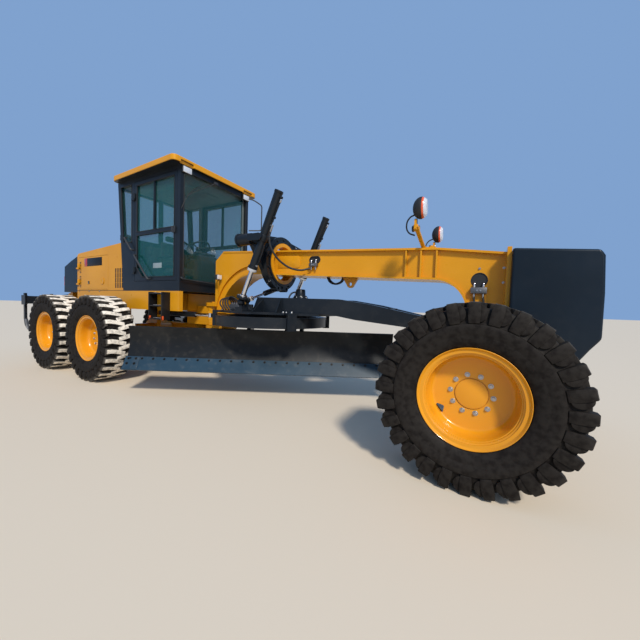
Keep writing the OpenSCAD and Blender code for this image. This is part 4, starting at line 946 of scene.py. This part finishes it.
outside = []
for way in (-1, 1):
    outside += [sideBlock(way, (-3.898, 0.535, 3.162), (-3.868, 0.685, 3.258), "plastic", 0.008),
                sideBlock(way, (-3.872, 0.541, 3.168), (-3.857, 0.679, 3.252), "lens", 0.006),
                sideBlock(way, (-3.876, 0.545, 3.172), (-3.864, 0.675, 3.248), "mirror"),
                bent([(-5.3, way * 0.696, 2.33), (-5.3, way * 0.742, 2.33), (-5.1, way * 0.742, 2.115),
                      (-5.1, way * 0.696, 2.115)], 0.014, "plastic", 0.025)]
outside += [hose([(-3.884, -0.073, 3.222), (-3.884, -0.469, 2.948), (-3.884, -0.606, 2.843)], 0.007, "plastic",
                 smooth=False),
            block((-3.905, -0.11, 3.195), (-3.872, -0.03, 3.24), "plastic", 0.006),
            hose([(-3.892, -0.33, 3.1), (-3.892, -0.56, 2.89), (-3.892, -0.69, 2.64)], 0.006, "rubber"),
            bent([(-3.87, 0.68, 3.215), (-3.8, 0.74, 3.2), (-3.7, 0.85, 3.12), (-3.7, 0.85, 2.66),
                  (-3.87, 0.695, 2.64)], 0.011, "plastic", 0.04),
            bent([(-3.885, -0.69, 1.64), (-3.862, -0.69, 1.64), (-3.862, -0.69, 1.62), (-3.862, 0.0, 1.585)],
                 0.008, "plastic", 0.01)]
for way in (-1, 1):
    for x in (-4.445, -4.125):
        outside += [sideBlock(way, (x - 0.014, 0.7, 1.002), (x + 0.014, 0.829, 1.418), "blackPaint"),
                    sideBlock(way, (x - 0.016, 0.802, 1.001), (x + 0.016, 0.829, 1.06), "orange", 0.004)]
    for z in (1.005, 1.2, 1.385):
        outside += [sideBlock(way, (-4.432, 0.7, z), (-4.138, 0.828, z + 0.02), "blackPaint", 0.004)]
        outside += [rod((-4.41 + 0.032 * k, way * 0.765, z + 0.018), (-4.41 + 0.032 * k, way * 0.765, z + 0.0245),
                        0.011, "steel", 0.001, 10) for k in range(9)]
intake = {"place": (-6.08, -0.3, 2.298), "posts": 20, "postRing": 0.09}
ix, iy, iz = intake["place"]
outside += [turned([(-0.01, 0), (-0.01, 0.072), (0.012, 0.066), (0.02, 0.058), (0.118, 0.058), (0.128, 0.08),
                    (0.134, 0.094), (0.168, 0.094), (0.172, 0.088), (0.18, 0.094), (0.222, 0.094), (0.234, 0.08),
                    (0.236, 0)], (ix, iy, iz), (ix, iy, iz + 1), "plastic", 48),
            turned([(0, 0), (0, 0.064), (0.01, 0.064), (0.014, 0.044), (0.3, 0.0445), (0.309, 0.044), (0.309, 0.038),
                    (0.12, 0.038), (0.12, 0)], (-6.7, 0.2, 2.26), (-6.7, 0.2, 3), "blackPaint", 40)]
outside += [rod((x, y, iz + 0.126), (x, y, iz + 0.17), 0.006, "plastic", 0.001, 8)
            for x, y, z in ring(intake["place"], "z", intake["postRing"], intake["posts"])]
for way in (-1, 1):
    outside += [sideBlock(way, (-8.04, 0.47, 1.64), (-8.018, 0.549, 1.76), "red", 0.005),
                sideBlock(way, (-8.04, 0.47, 1.56), (-8.019, 0.549, 1.635), "orange", 0.005)]
ready("rearFittings", outside, "rear", slotOf["rear_fittings"], "rear_fittings")

# Hood: screen behind the louvres, door recesses, blank plate, latch and bolts

hoodTrim = []
for way in (-1, 1):
    hoodTrim += [sideBlock(way, (-5.96, 0.532, 1.48), (-5.635, 0.545, 1.88), "rubber", 0.0)]
    for k in range(4):
        x = -5.945 + k * 0.07375
        hoodTrim += [sideBlock(way, (x, 0.538, 1.482), (x + 0.046, 0.557, 1.878), "rubber", 0.0)]
        hoodTrim += [sideBlock(way, (x, 0.55, z), (x + 0.046, 0.5585, z + 0.005), "yellow", 0.001)
                     for z in (1.5945, 1.683, 1.7715)]
    hoodTrim += bolts([(x, way * 0.56, 1.44) for x in (-7.3, -6.9, -6.5, -6.1, -5.75)], (0, way, 0), 0.009)
    hoodTrim += [hose([(-7.395, way * 0.5605, 1.452), (-5.615, way * 0.5605, 1.452)], 0.004, "rubber", smooth=False)]
ready("hoodTrim", hoodTrim, "rear", slotOf["hood"])
doorTrim = [block((-6.985, -0.5628, 1.935), (-6.41, -0.5598, 2.095), "blackPaint", 0.002),
            block((-7.095, -0.5628, 1.935), (-6.985, -0.5598, 2.095), "red", 0.002),
            turned([(0, 0.03), (0.004, 0.062), (0.01, 0.062), (0.011, 0.054), (0.006, 0.034), (0.005, 0), (0, 0)],
                   (-6.396, -0.559, 1.634), (-6.396, -1, 1.634), "yellow", 32),
            block((-6.945, -0.568, 1.585), (-6.895, -0.559, 1.64), "plastic"),
            rod((-6.92, -0.567, 1.598), (-6.92, -0.574, 1.598), 0.011, "steel")]
doorTrim += [block((-7.3, -0.5612, 1.52 + 0.03 * k + 0.29 * m), (-7.235, -0.5592, 1.536 + 0.03 * k + 0.29 * m),
                   "blackPaint", 0.001) for k in range(8) for m in (0, 1)]
readyPair("HoodTrim", doorTrim, "hood_door")

# Ripper points with their pins, and bolts and plugs of the tandem cases

tips = []
for k in range(5):
    y = -0.92 + k * 0.46
    tips += [plate([(-8.936, 0.8), (-8.916, 0.705), (-8.778, 0.566), (-8.85, 0.7), (-8.886, 0.8)], y - 0.026,
                   y + 0.026, "casting", bevel=0.004),
             rod((-8.935, y - 0.03, 0.77), (-8.935, y + 0.03, 0.77), 0.009, "steel"),
             block((-8.977, y - 0.045, 1.13), (-8.94, y + 0.045, 1.32), "charcoal", 0.006)]
ready("ripperTrim", tips, "ripper", slotOf["ripper"])
tandem = []
for way in (-1, 1):
    tandem += bolts(ring((-6.11, way * 0.836, 0.67), "y", 0.11, 10), (0, way, 0), 0.012)
    tandem += [rod((-5.95 - 0.32 * k, way * 0.834, 0.835), (-5.95 - 0.32 * k, way * 0.84, 0.835), 0.02, "steel")
               for k in range(2)]
ready("tandemTrim", tandem, "rear", slotOf["rear_axle"])
print("rear half trimmed")

# Floor, light and camera

stage = {"floor": 300, "floorColour": (0.66, 0.56, 0.43), "sky": (0.3, 0.5, 0.86), "skyLight": 0.72}
pick()
bpy.ops.mesh.primitive_plane_add(size=stage["floor"], location=(0, 0, 0))
floor = newest("floor")
floorFinish = Finish("paleFloor", stage["floorColour"], Roughness=0.85, Specular_IOR_Level=0.2)
floor.data.materials.append(floorFinish.material)
world = bpy.context.scene.world or bpy.data.worlds.new("world")
bpy.context.scene.world = world
world.use_nodes = True
sky = world.node_tree.nodes["Background"].inputs
sky["Color"].default_value = (*stage["sky"], 1)
sky["Strength"].default_value = stage["skyLight"]


def lamp(kind, place, target, energy, size, colour=(1, 1, 1)):
    made = bpy.data.objects.new(kind.lower() + "Lamp", bpy.data.lights.new(kind.lower() + "Lamp", kind))
    bpy.context.collection.objects.link(made)
    made.location = at(*place)
    made.rotation_euler = (at(*target) - made.location).to_track_quat("-Z", "Y").to_euler()
    made.data.energy, made.data.color = energy, colour
    if kind == "SUN":
        made.data.angle = radians(size)
    else:
        made.data.size = size


lamp("SUN", (4, -6, 9), (-2, 0, 1), 3.4, 7, (1.0, 0.95, 0.87))
lamp("AREA", (7, -10, 7), (0, 0, 1), 260, 8)

eye = {"place": (0.08, -3.54, 1.27), "yaw": 119.27, "pitch": -2.5, "roll": 1.81, "focal": 299.7, "frame": 640}
yaw, pitch, roll = [radians(eye[key]) for key in ("yaw", "pitch", "roll")]
ahead = Vector((cos(yaw) * cos(pitch), sin(yaw) * cos(pitch), sin(pitch)))
level = ahead.cross(Vector((0, 0, 1))).normalized()
upright = level.cross(ahead)
rightwards = level * cos(roll) + upright * sin(roll)
upwards = upright * cos(roll) - level * sin(roll)
camera = bpy.data.objects.new("camera", bpy.data.cameras.new("camera"))
bpy.context.collection.objects.link(camera)
camera.matrix_world = Matrix.Translation(at(*eye["place"])) @ Matrix(
    (rightwards, upwards, -ahead)).transposed().to_4x4()
camera.data.sensor_width = 36
camera.data.lens = 36 * eye["focal"] / eye["frame"]
camera.data.clip_end = 500
bpy.context.scene.camera = camera
bpy.context.scene.view_settings.view_transform = "Standard"
print("stage set")

if boltShape is not None:
    bpy.data.objects.remove(boltShape)
